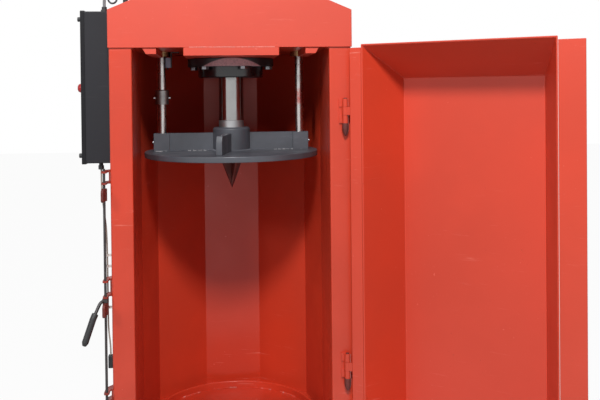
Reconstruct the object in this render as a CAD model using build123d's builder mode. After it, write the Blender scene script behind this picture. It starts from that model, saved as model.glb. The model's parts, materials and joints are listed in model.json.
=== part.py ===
"""Drum crusher: an upright press that flattens a 205 litre steel drum.

Millimetres, +Z up, +X to the viewer's right, +Y to the back.
The origin is on the ground, under the axis of the cylinder and the chamber.
The ram stands high, the door is swung open and the lock is turned back.
"""
import math
import os

from build123d import *

# Driving dimensions

drum_dia = 585.0              # the drum that goes in
base_height = 100.0
floor_t = 10.0
cabinet_half = 378.0          # outer half width
front_y = -290.0              # front face of the posts
rear_y = 345.0                # outer face of the rear panel
head_room = 1285.0            # chamber floor to the underside of the header
post_width = 70.0
post_depth = 60.0
post_t = 5.0
skin_t = 3.0                  # side and rear panels
chamber_t = 4.0
fit_gap = 0.3                 # clearance between parts that only pass each other

floor_z = base_height + floor_t
header_z = floor_z + head_room
opening_half = cabinet_half - post_width

# Base

base_t = 6.0
base_flange = 50.0
bearer_flange = 50.0
bearer_y = (-150.0, 0.0, 150.0)
ring_height = 25.0
ring_t = 8.0

# Chamber wall, as the places of its folds on the right-hand half

fold_side = (cabinet_half - 65.0, 0.0)
fold_rear = (cabinet_half - 103.0, 193.0)
fold_back = (cabinet_half - 274.0, 320.0)
fold_radius = 8.0
ring_room = 30.0              # floor ring to the side of the chamber
ring_radius = fold_side[0] - ring_room

# Header

header_lap = 2.5              # front and rear plates past the cabinet's sides
header_half = cabinet_half + header_lap
header_leg = 8.0              # cover's turned-down edge over the side panels
header_plate_t = 6.0
header_side = 118.0           # height of the upright ends
header_rise = 97.0            # rise of each slope
header_flat_half = 150.0      # half of the flat top
header_cover_t = 4.0
header_floor_t = 8.0
mount_plate_half = 149.5      # plate that carries the cylinder
mount_plate_t = 25.0
guide_bar_half = 22.0
guide_bar_t = 20.0

# Cylinder

flange_dia = 298.0
flange_t = 28.0
gland_dia = 227.0
gland_t = 38.0
rod_dia = 85.0
barrel_od = 184.0
barrel_wall = 12.0
barrel_length = 1010.0
cap_t = 40.0
piston_t = 60.0
slide_gap = 0.06              # radial running clearance of the rods
bolt_circle = 264.0
bolt_dia = 16.0
bolt_head_af = 24.0
bolt_head_t = 10.0
bolt_nut_t = 13.0
bolt_count = 6
bolt_phase = 18.0
port_thread_r = 9.5
port_boss_dia = 34.0
port_boss_length = 22.0
port_from_end = 75.0

# Ram

ram_bottom = floor_z + 923.0  # underside of the platen as it stands
platen_room = 13.0            # platen to the side of the chamber
platen_dia = 2 * (fold_side[0] - platen_room)
platen_t = 19.0
ram_up = 68.0                 # travel left above this place
ram_down = 770.0              # travel below it
hub_dia = 130.0
hub_height = 81.0
hub_chamfer = 6.0
collar_height = 24.0          # bright shoulder ring on the rod's end
bar_height = 62.0
bar_t = 20.0
bar_half = fold_side[0] - 45.0
block_width = 54.0
block_depth = 50.0
rib_angle = 10.0              # the front rib points a little to the left
rib_reach = fold_side[0] - 68.0
rib_t = 20.0
rib_toe = 22.0
guide_x = fold_side[0] - 74.0
guide_dia = 28.0
guide_top = floor_z + 2150.0
bush_od = 44.0
bush_flange = 60.0
bush_below = 16.0
stop_dia = 46.0
stop_height = 51.0
stop_z = floor_z + 1104.0
screw_dia = 8.0
screw_head = 9.0
spike_height = 114.0
spike_half = 40.0
spike_t = 9.0
spike_turn = 25.0

# Limit switch

switch_height = 40.0
switch_width = 18.0
switch_depth = 30.0
plunger_dia = 6.0
plunger_reach = 7.0
plunger_travel = 4.0

# Door

hinge_x = cabinet_half - 22.0
leaf_t = 5.0
knuckle_dia = 19.0
knuckle_height = 25.5
knuckle_gap = 0.5
hinge_pin_dia = 11.0
pin_fit = 0.05
pin_tail = 40.0
hinge_upper_z = floor_z + 1043.0
hinge_lower_z = floor_z + 234.0
door_open = 143.0             # degrees from shut
door_reach = 20.0             # hinge axis to the edge of the door
door_width = 711.0
door_gap = 2.0                # door to the face of the header
hinge_stile = 39.0
latch_stile = 73.0
door_t = 5.0
pan_depth = 166.0
pan_slant = 71.0
pan_drop = 104.0
pan_top = floor_z + 1291.0
pan_bottom = floor_z - 6.0
stile_short = 11.0            # the stiles end this far inside the pan's edges

# Lock

lock_x = cabinet_half + 16.0
shaft_dia = 8.0
lug_t = 6.0
lug_edge = 8.0
lug_back_t = 5.0
lug_foot = 46.0
lug_clear = 8.0
brackets = ((187.0, 38.0), (515.0, 55.0), (865.0, 41.0))   # height above the floor, tall
cam_height = 38.0
cam_t = 8.0
cam_reach = 44.0
cam_drop = 12.0
shaft_below = 60.0
handle_dia = 12.0
grip_dia = 20.0
grip_length = 88.0
handle_heading = 225.0

# Control box

box_depth = 98.0
box_front = -200.0
box_length = 300.0
box_bottom = floor_z + 921.0
box_height = 486.0
box_t = 2.0
box_flange = 14.0             # turned-in edge round the mouth
cover_t = 2.0
cover_seal = 0.5
cover_rim = 10.0
cover_gap = 0.6
cover_lock_in = 24.0
lock_knob_dia = 15.0
lock_knob_out = 12.0
lock_shank_dia = 10.0
lock_tongue = 20.0
lock_tongue_t = 3.0
tongue_room = 2.5             # tongue behind the turned-in edge
box_knuckle = 10.0
box_knuckle_h = 18.0
box_pin_dia = 5.0
plate_off = 12.0
plate_margin = 50.0
rail_z = floor_z + 1050.0
rail_length = 220.0
rail_depth = 7.5
contactor_width = 45.0
contactor_height = 76.0
contactor_depth = 58.0
stop_button_dia = 30.0
stop_button_z = floor_z + 1163.0
stop_button_y = -60.0
stop_ring_t = 8.0
stop_barrel_dia = 22.0
stop_stem_dia = 14.0
stop_stem_in = 22.0
stop_block = 34.0
stop_head_t = 20.0
stop_travel = 5.0

# Cables

gland_hex = 20.0
gland_height = 22.0
conduit_dia = 10.0
conduit_x = -(cabinet_half + 36.0)
conduit_y = -120.0
cable_dia = 6.0
cable_y = -165.0
top_gland_x = -120.0
slope_gland_x = -(cabinet_half - 33.0)
slope_gland_y = -120.0
slope_gland_top = floor_z + 1462.0
loop_width = 30.0
loop_low = floor_z + 1436.0
lead_dia = 5.0
lead_x = -(cabinet_half + 45.0)
lead_y = -170.0
clip_x = cabinet_half + 19.0
clip_y = -238.0
sensor_y = -275.0
sensor_width = 18.0
sensor_height = 40.0
sensor_depth = 14.0
sensor_top = floor_z + 330.0
clip_heights = (sensor_top + 135.0, box_bottom - 326.0, box_bottom - 291.0)

os.makedirs("parts", exist_ok=True)


def save(part, label):
    """Label a finished piece and write its file."""
    part.label = label
    export_step(part, "parts/" + label + ".step")


def hex_bolt(af, head_t, dia, length):
    """Hexagon bolt, head from 0 down to -head_t, shank up to length."""
    head = extrude(RegularPolygon(af / 2, 6, major_radius=False), -head_t)
    shank = extrude(Circle(dia / 2), length)
    return head + shank


def set_screw(dia, length, head_dia, head_t):
    """Cap screw along +X, the head at the far end."""
    shank = Plane.YZ * extrude(Circle(dia / 2), length)
    head = Plane.YZ.offset(length) * extrude(Circle(head_dia / 2), head_t)
    return shank + head


def route_radii(points):
    """Largest tangent arc at each inner point: 0.45 of the shorter run."""
    radii = []
    for before, here, after in zip(points, points[1:], points[2:]):
        a = Vector(*here) - Vector(*before)
        b = Vector(*after) - Vector(*here)
        turn = math.radians(a.get_angle(b))
        radii.append(0.45 * min(a.length, b.length) / math.tan(turn / 2))
    return radii


# Base

cabinet_depth = rear_y - front_y
cabinet_mid_y = (rear_y + front_y) / 2

with BuildPart() as base_frame:
    with BuildSketch() as base_plan:
        with Locations((0, cabinet_mid_y)):
            Rectangle(2 * cabinet_half, cabinet_depth)
    extrude(amount=base_height)
    with BuildSketch(Plane.XY.offset(base_t)) as base_inside:
        with Locations((0, cabinet_mid_y)):
            Rectangle(2 * (cabinet_half - base_t), cabinet_depth - 2 * base_t)
    extrude(amount=base_height, mode=Mode.SUBTRACT)
    with BuildSketch() as base_open:
        with Locations((0, cabinet_mid_y)):
            Rectangle(2 * (cabinet_half - base_flange), cabinet_depth - 2 * base_flange)
    extrude(amount=base_height, mode=Mode.SUBTRACT)
    for y in bearer_y:
        with BuildSketch(Plane.YZ.offset(-(cabinet_half - base_t))) as bearer_section:
            with Locations((y, base_height / 2)):
                Rectangle(bearer_flange, base_height)
            with Locations((y + base_t, base_height / 2)):
                Rectangle(bearer_flange, base_height - 2 * base_t, mode=Mode.SUBTRACT)
        extrude(amount=2 * (cabinet_half - base_t))
save(base_frame.part, "base_frame")

with BuildPart() as floor_plate:
    with BuildSketch(Plane.XY.offset(base_height)) as floor_plan:
        with Locations((0, cabinet_mid_y)):
            Rectangle(2 * cabinet_half, cabinet_depth)
    extrude(amount=floor_t)
save(floor_plate.part, "floor_plate")

with BuildPart() as drum_ring:
    with BuildSketch(Plane.XY.offset(floor_z)) as ring_plan:
        Circle(ring_radius)
        Circle(ring_radius - ring_t, mode=Mode.SUBTRACT)
    extrude(amount=ring_height)
    fillet(drum_ring.edges().group_by(Axis.Z)[-1], radius=ring_t / 4)
save(drum_ring.part, "drum_ring")

# Posts, each a folded channel that is open to the rear

post_height = head_room + header_side - header_leg

with BuildPart() as left_post:
    with BuildSketch(Plane.XY.offset(floor_z)) as post_plan:
        with Locations((-(cabinet_half - post_width / 2), front_y + post_depth / 2)):
            Rectangle(post_width, post_depth)
        fillet(post_plan.vertices().group_by(Axis.Y)[0], radius=post_t)
        with Locations((-(cabinet_half - post_width / 2), front_y + post_depth / 2 + post_t)):
            Rectangle(post_width - 2 * post_t, post_depth, mode=Mode.SUBTRACT)
    extrude(amount=post_height)
save(left_post.part, "left_post")

with BuildPart() as right_post:
    mirror(left_post.part, about=Plane.YZ)
save(right_post.part, "right_post")

# Chamber wall, one folded sheet between the posts

wall_front_y = front_y + post_depth

with BuildPart() as chamber_wall:
    with BuildSketch(Plane.XY.offset(floor_z)) as wall_plan:
        with BuildLine() as wall_line:
            folds = [fold_side, fold_rear, fold_back]
            right_half = [(opening_half, wall_front_y + fit_gap)] + folds
            left_half = [(-x, y) for x, y in reversed(right_half)]
            FilletPolyline(*(right_half + left_half), radius=fold_radius)
            offset(amount=chamber_t, side=Side.RIGHT)
        make_face()
    extrude(amount=head_room)
save(chamber_wall.part, "chamber_wall")

# Outer skin

skin_height = post_height
skin_depth = rear_y - skin_t - wall_front_y

with BuildPart() as side_panels:
    with BuildSketch(Plane.XY.offset(floor_z)) as side_plan:
        for side in (-1, 1):
            with Locations((side * (cabinet_half - skin_t / 2), wall_front_y + skin_depth / 2)):
                Rectangle(skin_t, skin_depth)
    extrude(amount=skin_height)
save(side_panels.part, "side_panels")

with BuildPart() as rear_panel:
    with BuildSketch(Plane.XY.offset(floor_z)) as rear_plan:
        with Locations((0, rear_y - skin_t / 2)):
            Rectangle(2 * cabinet_half, skin_t)
    extrude(amount=skin_height)
save(rear_panel.part, "rear_panel")

# Header: front and rear plates with a folded cover between them

header_front = front_y - header_plate_t
header_rear = rear_y + header_plate_t
header_corner = header_z + header_side
header_top = header_corner + header_rise


def header_outline(half, inset):
    """Outline of the header's front, taken in by a plate thickness."""
    slope = math.atan2(header_rise, half - header_flat_half)
    low = inset * math.tan(slope / 2)
    return [
        (-(half - inset), header_z),
        (half - inset, header_z),
        (half - inset, header_corner - low),
        (header_flat_half - low, header_top - inset),
        (-(header_flat_half - low), header_top - inset),
        (-(half - inset), header_corner - low),
    ]


with BuildPart() as header_front_plate:
    with BuildSketch(Plane.XZ.offset(-front_y)) as front_outline:
        with BuildLine():
            Polyline(*header_outline(header_half, 0), close=True)
        make_face()
    extrude(amount=header_plate_t)
save(header_front_plate.part, "header_front_plate")

with BuildPart() as header_rear_plate:
    with BuildSketch(Plane.XZ.offset(-rear_y)) as rear_outline:
        with BuildLine():
            Polyline(*header_outline(header_half, 0), close=True)
        make_face()
    extrude(amount=-header_plate_t)
save(header_rear_plate.part, "header_rear_plate")

barrel_hole_dia = barrel_od + 8.0

with BuildPart() as header_cover:
    with BuildSketch(Plane.XZ.offset(-rear_y)) as cover_outline:
        with BuildLine():
            Polyline(*header_outline(cabinet_half, 0), close=True)
        make_face()
        with BuildLine():
            Polyline(*header_outline(cabinet_half, header_cover_t), close=True)
        make_face(mode=Mode.SUBTRACT)
        with Locations((0, header_z + (header_side - header_leg) / 2)):
            Rectangle(2 * cabinet_half, header_side - header_leg, mode=Mode.SUBTRACT)
    extrude(amount=cabinet_depth)
    with BuildSketch(Plane.XY.offset(header_z)) as cover_holes:
        Circle(barrel_hole_dia / 2)
        with Locations((-guide_x, 0), (guide_x, 0)):
            Circle(bush_od / 2)
    extrude(amount=header_side + header_rise + 10, mode=Mode.SUBTRACT)
save(header_cover.part, "header_cover")

# The header's floor, the cylinder's plate and the two guide bars under it

with BuildPart() as header_floor:
    with BuildSketch(Plane.XY.offset(header_z)) as header_floor_plan:
        with Locations((0, (wall_front_y + rear_y - skin_t) / 2)):
            Rectangle(2 * (cabinet_half - skin_t), skin_depth)
        with Locations((0, front_y + post_depth / 2)):
            Rectangle(2 * opening_half, post_depth)
        Circle(barrel_hole_dia / 2, mode=Mode.SUBTRACT)
        with PolarLocations(bolt_circle / 2, bolt_count, start_angle=bolt_phase - 90):
            Circle(bolt_dia / 2 + fit_gap, mode=Mode.SUBTRACT)
        with Locations((-guide_x, 0), (guide_x, 0)):
            Circle(bush_od / 2, mode=Mode.SUBTRACT)
    extrude(amount=header_floor_t)
save(header_floor.part, "header_floor")

plate_front = header_front
plate_rear = rear_y - 60.0

with BuildPart() as cylinder_plate:
    with BuildSketch(Plane.XY.offset(header_z - mount_plate_t)) as mount_plan:
        with Locations((0, (plate_front + plate_rear) / 2)):
            Rectangle(2 * mount_plate_half, plate_rear - plate_front)
        Circle(barrel_hole_dia / 2, mode=Mode.SUBTRACT)
        with PolarLocations(bolt_circle / 2, bolt_count, start_angle=bolt_phase - 90):
            Circle(bolt_dia / 2 + fit_gap, mode=Mode.SUBTRACT)
    extrude(amount=mount_plate_t)
    chamfer(cylinder_plate.edges().group_by(Axis.Y)[0].filter_by(Axis.Z), length=2)
save(cylinder_plate.part, "cylinder_plate")

stiffener_x = guide_x + 16.0
stiffener_low = header_z - guide_bar_t

with BuildPart() as stiffeners:
    for side in (-1, 1):
        with BuildSketch(Plane.XZ.offset(-front_y)) as stiffener_section:
            with BuildLine():
                Polyline(
                    (side * (stiffener_x + guide_bar_half), header_z),
                    (side * (stiffener_x - guide_bar_half), header_z),
                    (side * (stiffener_x - guide_bar_half), stiffener_low),
                    (side * (stiffener_x + guide_bar_half - 12), stiffener_low),
                    close=True,
                )
            make_face()
        extrude(amount=front_y + bush_flange / 2 + fit_gap)
save(stiffeners.part, "stiffeners")

bush_above = 70.0
guide_places = Locations((-guide_x, 0), (guide_x, 0))

with BuildPart() as guide_bushes:
    with BuildSketch(Plane.XY.offset(header_z - bush_below)) as bush_flange_plan:
        with guide_places:
            Circle(bush_flange / 2)
    extrude(amount=bush_below)
    with BuildSketch(Plane.XY.offset(header_z)) as bush_sleeve_plan:
        with guide_places:
            Circle(bush_od / 2)
    extrude(amount=bush_above)
    with BuildSketch(Plane.XY.offset(header_z - bush_below)) as bush_bore:
        with guide_places:
            Circle(guide_dia / 2 + slide_gap)
    extrude(amount=bush_below + bush_above, mode=Mode.SUBTRACT)
    chamfer(guide_bushes.edges().group_by(Axis.Z)[-1], length=1.5)
save(guide_bushes.part, "guide_bushes")

# Cylinder

flange_top = header_z - mount_plate_t
flange_z = flange_top - flange_t
gland_z = flange_z - gland_t
barrel_top = flange_top + barrel_length

with BuildPart() as cylinder_flange:
    with BuildSketch(Plane.XY.offset(flange_z)) as flange_plan:
        Circle(flange_dia / 2)
        Circle(barrel_od / 2 - barrel_wall, mode=Mode.SUBTRACT)
        with PolarLocations(bolt_circle / 2, bolt_count, start_angle=bolt_phase - 90):
            Circle(bolt_dia / 2 + fit_gap, mode=Mode.SUBTRACT)
    extrude(amount=flange_t)
    rim = cylinder_flange.edges().filter_by(GeomType.CIRCLE).group_by(SortBy.RADIUS)[-1]
    chamfer(rim, length=2)
save(cylinder_flange.part, "cylinder_flange")

with BuildPart() as cylinder_gland:
    with BuildSketch(Plane.XY.offset(gland_z)) as gland_plan:
        Circle(gland_dia / 2)
        Circle(rod_dia / 2 + slide_gap, mode=Mode.SUBTRACT)
    extrude(amount=gland_t)
    with BuildSketch(Plane.XY.offset(flange_z)) as gland_spigot:
        Circle(barrel_od / 2 - barrel_wall)
        Circle(rod_dia / 2 + slide_gap, mode=Mode.SUBTRACT)
    extrude(amount=flange_t)
    lip = cylinder_gland.edges().group_by(Axis.Z)[0].sort_by(SortBy.RADIUS)[-1]
    fillet(lip, radius=6)
save(cylinder_gland.part, "cylinder_gland")

with BuildPart() as cylinder_barrel:
    with BuildSketch(Plane.XY.offset(flange_top)) as barrel_plan:
        Circle(barrel_od / 2)
        Circle(barrel_od / 2 - barrel_wall, mode=Mode.SUBTRACT)
    extrude(amount=barrel_length)
    for port_z in (header_top + port_from_end, barrel_top - port_from_end):
        with BuildSketch(Plane.XZ.offset(-barrel_od / 2 + 4)) as port_boss:
            with Locations((0, port_z)):
                Circle(port_boss_dia / 2)
        extrude(amount=-(port_boss_length + 4))
        with BuildSketch(Plane.XZ.offset(-barrel_od / 2 + barrel_wall + 2)) as port_bore:
            with Locations((0, port_z)):
                Circle(port_thread_r)
        extrude(amount=-(port_boss_length + barrel_wall + 6), mode=Mode.SUBTRACT)
    with BuildSketch(Plane.XY.offset(barrel_top)) as cap_plan:
        Circle(barrel_od / 2)
    extrude(amount=cap_t)
    chamfer(cylinder_barrel.edges().group_by(Axis.Z)[-1], length=6)
save(cylinder_barrel.part, "cylinder_barrel")

bolt_grip = flange_t + mount_plate_t + header_floor_t
bolt_places = PolarLocations(bolt_circle / 2, bolt_count, start_angle=bolt_phase - 90)

bolt_length = bolt_grip + bolt_nut_t + 6
one_bolt = hex_bolt(bolt_head_af, bolt_head_t, bolt_dia, bolt_length)
with BuildPart() as flange_bolts:
    for place in bolt_places.locations:
        add(Pos(0, 0, flange_z) * place * one_bolt)
save(flange_bolts.part, "flange_bolts")

with BuildPart() as flange_nuts:
    with BuildSketch(Plane.XY.offset(header_z + header_floor_t)) as nut_plan:
        with bolt_places:
            RegularPolygon(bolt_head_af / 2, 6, major_radius=False)
            Circle(bolt_dia / 2 + 0.05, mode=Mode.SUBTRACT)
    extrude(amount=bolt_nut_t)
save(flange_nuts.part, "flange_nuts")

# Ram: platen, hub, arms, ribs, spike, rods

ram_top = ram_bottom + platen_t
hub_top = ram_top + hub_height
bar_top = ram_top + bar_height

with BuildPart() as platen:
    with BuildSketch(Plane.XY.offset(ram_bottom)) as platen_plan:
        Circle(platen_dia / 2)
    extrude(amount=platen_t)
    chamfer(platen.edges(), length=1.5)
save(platen.part, "platen")

with BuildPart() as ram_hub:
    with BuildSketch(Plane.XY.offset(ram_top)) as hub_plan:
        Circle(hub_dia / 2)
    extrude(amount=hub_height)
    chamfer(ram_hub.edges().group_by(Axis.Z)[-1], length=hub_chamfer)
save(ram_hub.part, "ram_hub")

hub_side = math.sqrt((hub_dia / 2) ** 2 - (bar_t / 2) ** 2)
screw_z = ram_top + bar_height / 2

with BuildPart() as ram_arms:
    with BuildSketch(Plane.XY.offset(ram_top)) as arm_plan:
        for side in (-1, 1):
            with Locations((side * (bar_half - block_width) / 2, 0)):
                Rectangle(bar_half - block_width, bar_t)
            with Locations((side * (bar_half - block_width / 2), 0)):
                Rectangle(block_width, block_depth)
        Circle(hub_dia / 2, mode=Mode.SUBTRACT)
        with guide_places:
            Circle(guide_dia / 2, mode=Mode.SUBTRACT)
    extrude(amount=bar_height)
    with BuildSketch(Plane.YZ.offset(-bar_half)) as clamp_screw_hole:
        with Locations((0, screw_z)):
            Circle(screw_dia / 2)
    extrude(amount=bar_half - guide_x, mode=Mode.SUBTRACT)
    extrude(clamp_screw_hole.sketch.moved(Pos(2 * bar_half, 0, 0)), amount=guide_x - bar_half, mode=Mode.SUBTRACT)
    uprights = ram_arms.edges().filter_by(Axis.Z).group_by(Axis.X)
    chamfer(uprights[0] + uprights[-1], length=2)
save(ram_arms.part, "ram_arms")

with BuildPart() as ram_ribs:
    for heading in (-90 - rib_angle, 90 - rib_angle):
        turned = Plane.XY.rotated((0, 0, heading))
        with BuildSketch(Plane(turned.origin, turned.x_dir, -turned.y_dir)) as rib_side:
            with BuildLine():
                Polyline(
                    (0, ram_top),
                    (rib_reach, ram_top),
                    (rib_reach, bar_top - rib_toe),
                    (rib_reach - rib_toe / 2, bar_top),
                    (0, bar_top),
                    close=True,
                )
            make_face()
        extrude(amount=rib_t / 2, both=True)
    with BuildSketch(Plane.XY.offset(ram_top)) as rib_hub_cut:
        Circle(hub_dia / 2)
    extrude(amount=bar_height, mode=Mode.SUBTRACT)
save(ram_ribs.part, "ram_ribs")

with BuildPart() as spike:
    with BuildSketch(Plane.XY.offset(ram_bottom)) as spike_root:
        Rectangle(2 * spike_half, spike_t, rotation=spike_turn)
        Rectangle(spike_t, 2 * spike_half, rotation=spike_turn)
    extrude(amount=-spike_height)
    with BuildSketch(Plane.XZ) as spike_cone:
        with BuildLine():
            Polyline(
                (0, ram_bottom - spike_height),
                (spike_half + 5, ram_bottom),
                (spike_half + 5, ram_bottom - spike_height),
                close=True,
            )
        make_face()
    revolve(axis=Axis.Z, mode=Mode.SUBTRACT)
save(spike.part, "spike")

rod_length_up = 800.0         # reach into the barrel at this place
rod_top = flange_top + rod_length_up

with BuildPart() as piston_rod:
    with BuildSketch(Plane.XY.offset(hub_top)) as collar_plan:
        Circle(rod_dia / 2 + 1)
    extrude(amount=collar_height)
    chamfer(piston_rod.edges().group_by(Axis.Z)[-1], length=0.8)
    with BuildSketch(Plane.XY.offset(hub_top + collar_height)) as rod_plan:
        Circle(rod_dia / 2)
    extrude(amount=rod_top - hub_top - collar_height)
save(piston_rod.part, "piston_rod")

with BuildPart() as piston:
    with BuildSketch(Plane.XY.offset(rod_top)) as piston_plan:
        Circle(barrel_od / 2 - barrel_wall - slide_gap)
    extrude(amount=piston_t)
    for groove in (0.25, 0.5, 0.75):
        with BuildSketch(Plane.XY.offset(rod_top + groove * piston_t - 2)) as groove_plan:
            Circle(barrel_od / 2)
            Circle(barrel_od / 2 - barrel_wall - 3, mode=Mode.SUBTRACT)
        extrude(amount=4, mode=Mode.SUBTRACT)
save(piston.part, "piston")

with BuildPart() as guide_rods:
    with BuildSketch(Plane.XY.offset(ram_top)) as guide_plan:
        with guide_places:
            Circle(guide_dia / 2)
    extrude(amount=guide_top - ram_top)
    chamfer(guide_rods.edges().group_by(Axis.Z)[-1], length=2)
save(guide_rods.part, "guide_rods")

with BuildPart() as stop_collar:
    with BuildSketch(Plane.XY.offset(stop_z)) as stop_plan:
        with Locations((-guide_x, 0)):
            Circle(stop_dia / 2)
            Circle(guide_dia / 2, mode=Mode.SUBTRACT)
    extrude(amount=stop_height)
    with BuildSketch(Plane.YZ.offset(-guide_x - stop_dia)) as stop_screw_hole:
        with Locations((0, stop_z + 0.45 * stop_height)):
            Circle(screw_dia / 2)
    extrude(amount=2 * stop_dia, mode=Mode.SUBTRACT)
    fillet(stop_collar.edges().group_by(Axis.Z)[-1].sort_by(SortBy.RADIUS)[-1], radius=4)
save(stop_collar.part, "stop_collar")

collar_screw = set_screw(screw_dia, (stop_dia - guide_dia) / 2, screw_head, 6)
clamp_screw = set_screw(screw_dia, bar_half - guide_x - guide_dia / 2, screw_head, 5)
screw_places = []
for turn in (0, 180):
    stop_place = Pos(-guide_x, 0, stop_z + 0.45 * stop_height) * Rot(0, 0, turn)
    screw_places.append(stop_place * Pos(guide_dia / 2, 0, 0) * collar_screw)
for side, turn in ((-1, 180), (1, 0)):
    clamp_place = Pos(side * guide_x, 0, screw_z) * Rot(0, 0, turn)
    screw_places.append(clamp_place * Pos(guide_dia / 2, 0, 0) * clamp_screw)

with BuildPart() as ram_screws:
    add(screw_places)
save(ram_screws.part, "ram_screws")

# Limit switch over the stop collar

switch_x = -(guide_x - 20.0)
switch_z = stop_z + stop_height + ram_up + 1.0 + plunger_reach
switch_y = 0.0

with BuildPart() as limit_switch:
    with BuildSketch(Plane.XY.offset(switch_z)) as switch_plan:
        with Locations((switch_x + 3, switch_y)):
            RectangleRounded(switch_width, switch_depth, 2)
    extrude(amount=switch_height - 6)
    with BuildSketch(Plane.XY.offset(switch_z)) as plunger_hole:
        with Locations((switch_x, switch_y)):
            Circle(plunger_dia / 2 + 0.1)
    extrude(amount=plunger_travel + 4, mode=Mode.SUBTRACT)
save(limit_switch.part, "limit_switch")

with BuildPart() as switch_plunger:
    with BuildSketch(Plane.XY.offset(switch_z - plunger_reach)) as plunger_plan:
        with Locations((switch_x, switch_y)):
            Circle(plunger_dia / 2)
    extrude(amount=plunger_reach + 3)
    fillet(switch_plunger.edges().group_by(Axis.Z)[0], radius=2)
save(switch_plunger.part, "switch_plunger")

bracket_x = switch_x + 3 + switch_width / 2
with BuildPart() as switch_bracket:
    with BuildSketch(Plane.XZ.offset(-switch_y - switch_depth / 2)) as bracket_section:
        with BuildLine():
            Polyline(
                (bracket_x, switch_z),
                (bracket_x + 3, switch_z),
                (bracket_x + 3, header_z - 3),
                (bracket_x + 28, header_z - 3),
                (bracket_x + 28, header_z),
                (bracket_x, header_z),
                close=True,
            )
        make_face()
    extrude(amount=switch_depth)
save(switch_bracket.part, "switch_bracket")

# Hinges: two knuckles and a leaf on the post, one knuckle and a tab on the door

hinge_y = front_y - leaf_t - knuckle_dia / 2
door_face = header_front - door_gap          # inner face of the shut door
door_inside = door_face - hinge_y            # from the hinge axis to that face
hinge_height = 3 * knuckle_height + 2 * knuckle_gap
leaf_edge = hinge_x - door_reach + 1.5

with BuildPart() as hinge_leaves:
    for low_z in (hinge_upper_z, hinge_lower_z):
        for step in (0, 2):
            knuckle_z = low_z + step * (knuckle_height + knuckle_gap)
            with BuildSketch(Plane.XY.offset(knuckle_z)) as leaf_plan:
                with Locations((hinge_x, hinge_y)):
                    Circle(knuckle_dia / 2)
                with Locations(((leaf_edge + hinge_x) / 2, front_y - leaf_t / 2 - 0.5)):
                    Rectangle(hinge_x - leaf_edge, leaf_t + 1)
                with Locations((hinge_x, hinge_y)):
                    Circle(hinge_pin_dia / 2, mode=Mode.SUBTRACT)
            extrude(amount=knuckle_height)
        with BuildSketch(Plane.XY.offset(low_z)) as leaf_back:
            with Locations(((leaf_edge + hinge_x - 3) / 2, front_y - leaf_t / 4)):
                Rectangle(hinge_x - leaf_edge - 3, leaf_t / 2)
        extrude(amount=hinge_height)
save(hinge_leaves.part, "hinge_leaves")

pin_plane = Plane(origin=(hinge_x, hinge_y, 0), x_dir=(1, 0, 0), z_dir=(0, -1, 0))
tail_r = knuckle_dia / 2 + 1.5

with BuildPart() as hinge_pins:
    for low_z in (hinge_upper_z, hinge_lower_z):
        with BuildSketch(pin_plane) as pin_section:
            with BuildLine():
                Polyline(
                    (0, low_z + hinge_height + 3),
                    (hinge_pin_dia / 2, low_z + hinge_height + 3),
                    (hinge_pin_dia / 2, low_z),
                    (tail_r, low_z),
                    (tail_r, low_z - pin_tail / 3),
                )
                ThreePointArc(
                    (tail_r, low_z - pin_tail / 3),
                    (0.72 * tail_r, low_z - 0.72 * pin_tail),
                    (2, low_z - pin_tail),
                )
                Polyline((2, low_z - pin_tail), (0, low_z - pin_tail), (0, low_z + hinge_height + 3))
            make_face()
        revolve(axis=Axis((hinge_x, hinge_y, 0), (0, 0, 1)))
save(hinge_pins.part, "hinge_pins")

# Door, drawn from its hinge axis: x along the door, y to its outer side

open_heading = 180.0 + door_open
door_dir = (math.cos(math.radians(open_heading)), math.sin(math.radians(open_heading)), 0)
door_plane = Plane(origin=(hinge_x, hinge_y, 0), x_dir=door_dir, z_dir=(0, 0, 1))
stile_bottom = pan_bottom + stile_short
stile_top = pan_top - stile_short
pan_near = door_reach + hinge_stile
pan_far = door_reach + door_width - latch_stile
pan_mid = (pan_near + pan_far) / 2
inside_y = -door_inside

for near, width, name in (
    (door_reach, hinge_stile, "door_hinge_stile"),
    (pan_far, latch_stile, "door_latch_stile"),
):
    with BuildPart() as door_stile:
        with BuildSketch(door_plane.offset(stile_bottom)) as stile_plan:
            with Locations((near + width / 2, inside_y + door_t / 2)):
                Rectangle(width, door_t)
        extrude(amount=stile_top - stile_bottom)
    save(door_stile.part, name)

mouth_plane = Plane(door_plane.origin, door_plane.x_dir, -door_plane.y_dir)
pan_mouth = mouth_plane.offset(-inside_y)
pan_height = pan_top - pan_bottom
pan_mid_z = (pan_top + pan_bottom) / 2
pan_width = pan_far - pan_near
pan_lean = math.cos(math.atan2(pan_slant, pan_depth))

with BuildPart() as door_pan:
    with BuildSketch(pan_mouth) as mouth_outer:
        with Locations((pan_mid, pan_mid_z)):
            Rectangle(pan_width, pan_height)
    with BuildSketch(pan_mouth.offset(-pan_depth)) as back_outer:
        with Locations((pan_mid, pan_mid_z)):
            Rectangle(pan_width - 2 * pan_slant, pan_height - 2 * pan_drop)
    loft()
    wall_step = door_t / pan_lean
    with BuildSketch(pan_mouth) as mouth_inner:
        with Locations((pan_mid, pan_mid_z)):
            Rectangle(pan_width - 2 * wall_step, pan_height - 2 * wall_step)
    with BuildSketch(pan_mouth.offset(-(pan_depth - door_t))) as back_inner:
        with Locations((pan_mid, pan_mid_z)):
            inner_share = 1 - door_t / pan_depth
            Rectangle(
                pan_width - 2 * (pan_slant * inner_share + wall_step),
                pan_height - 2 * (pan_drop * inner_share + wall_step),
            )
    loft(mode=Mode.SUBTRACT)
save(door_pan.part, "door_pan")

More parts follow.
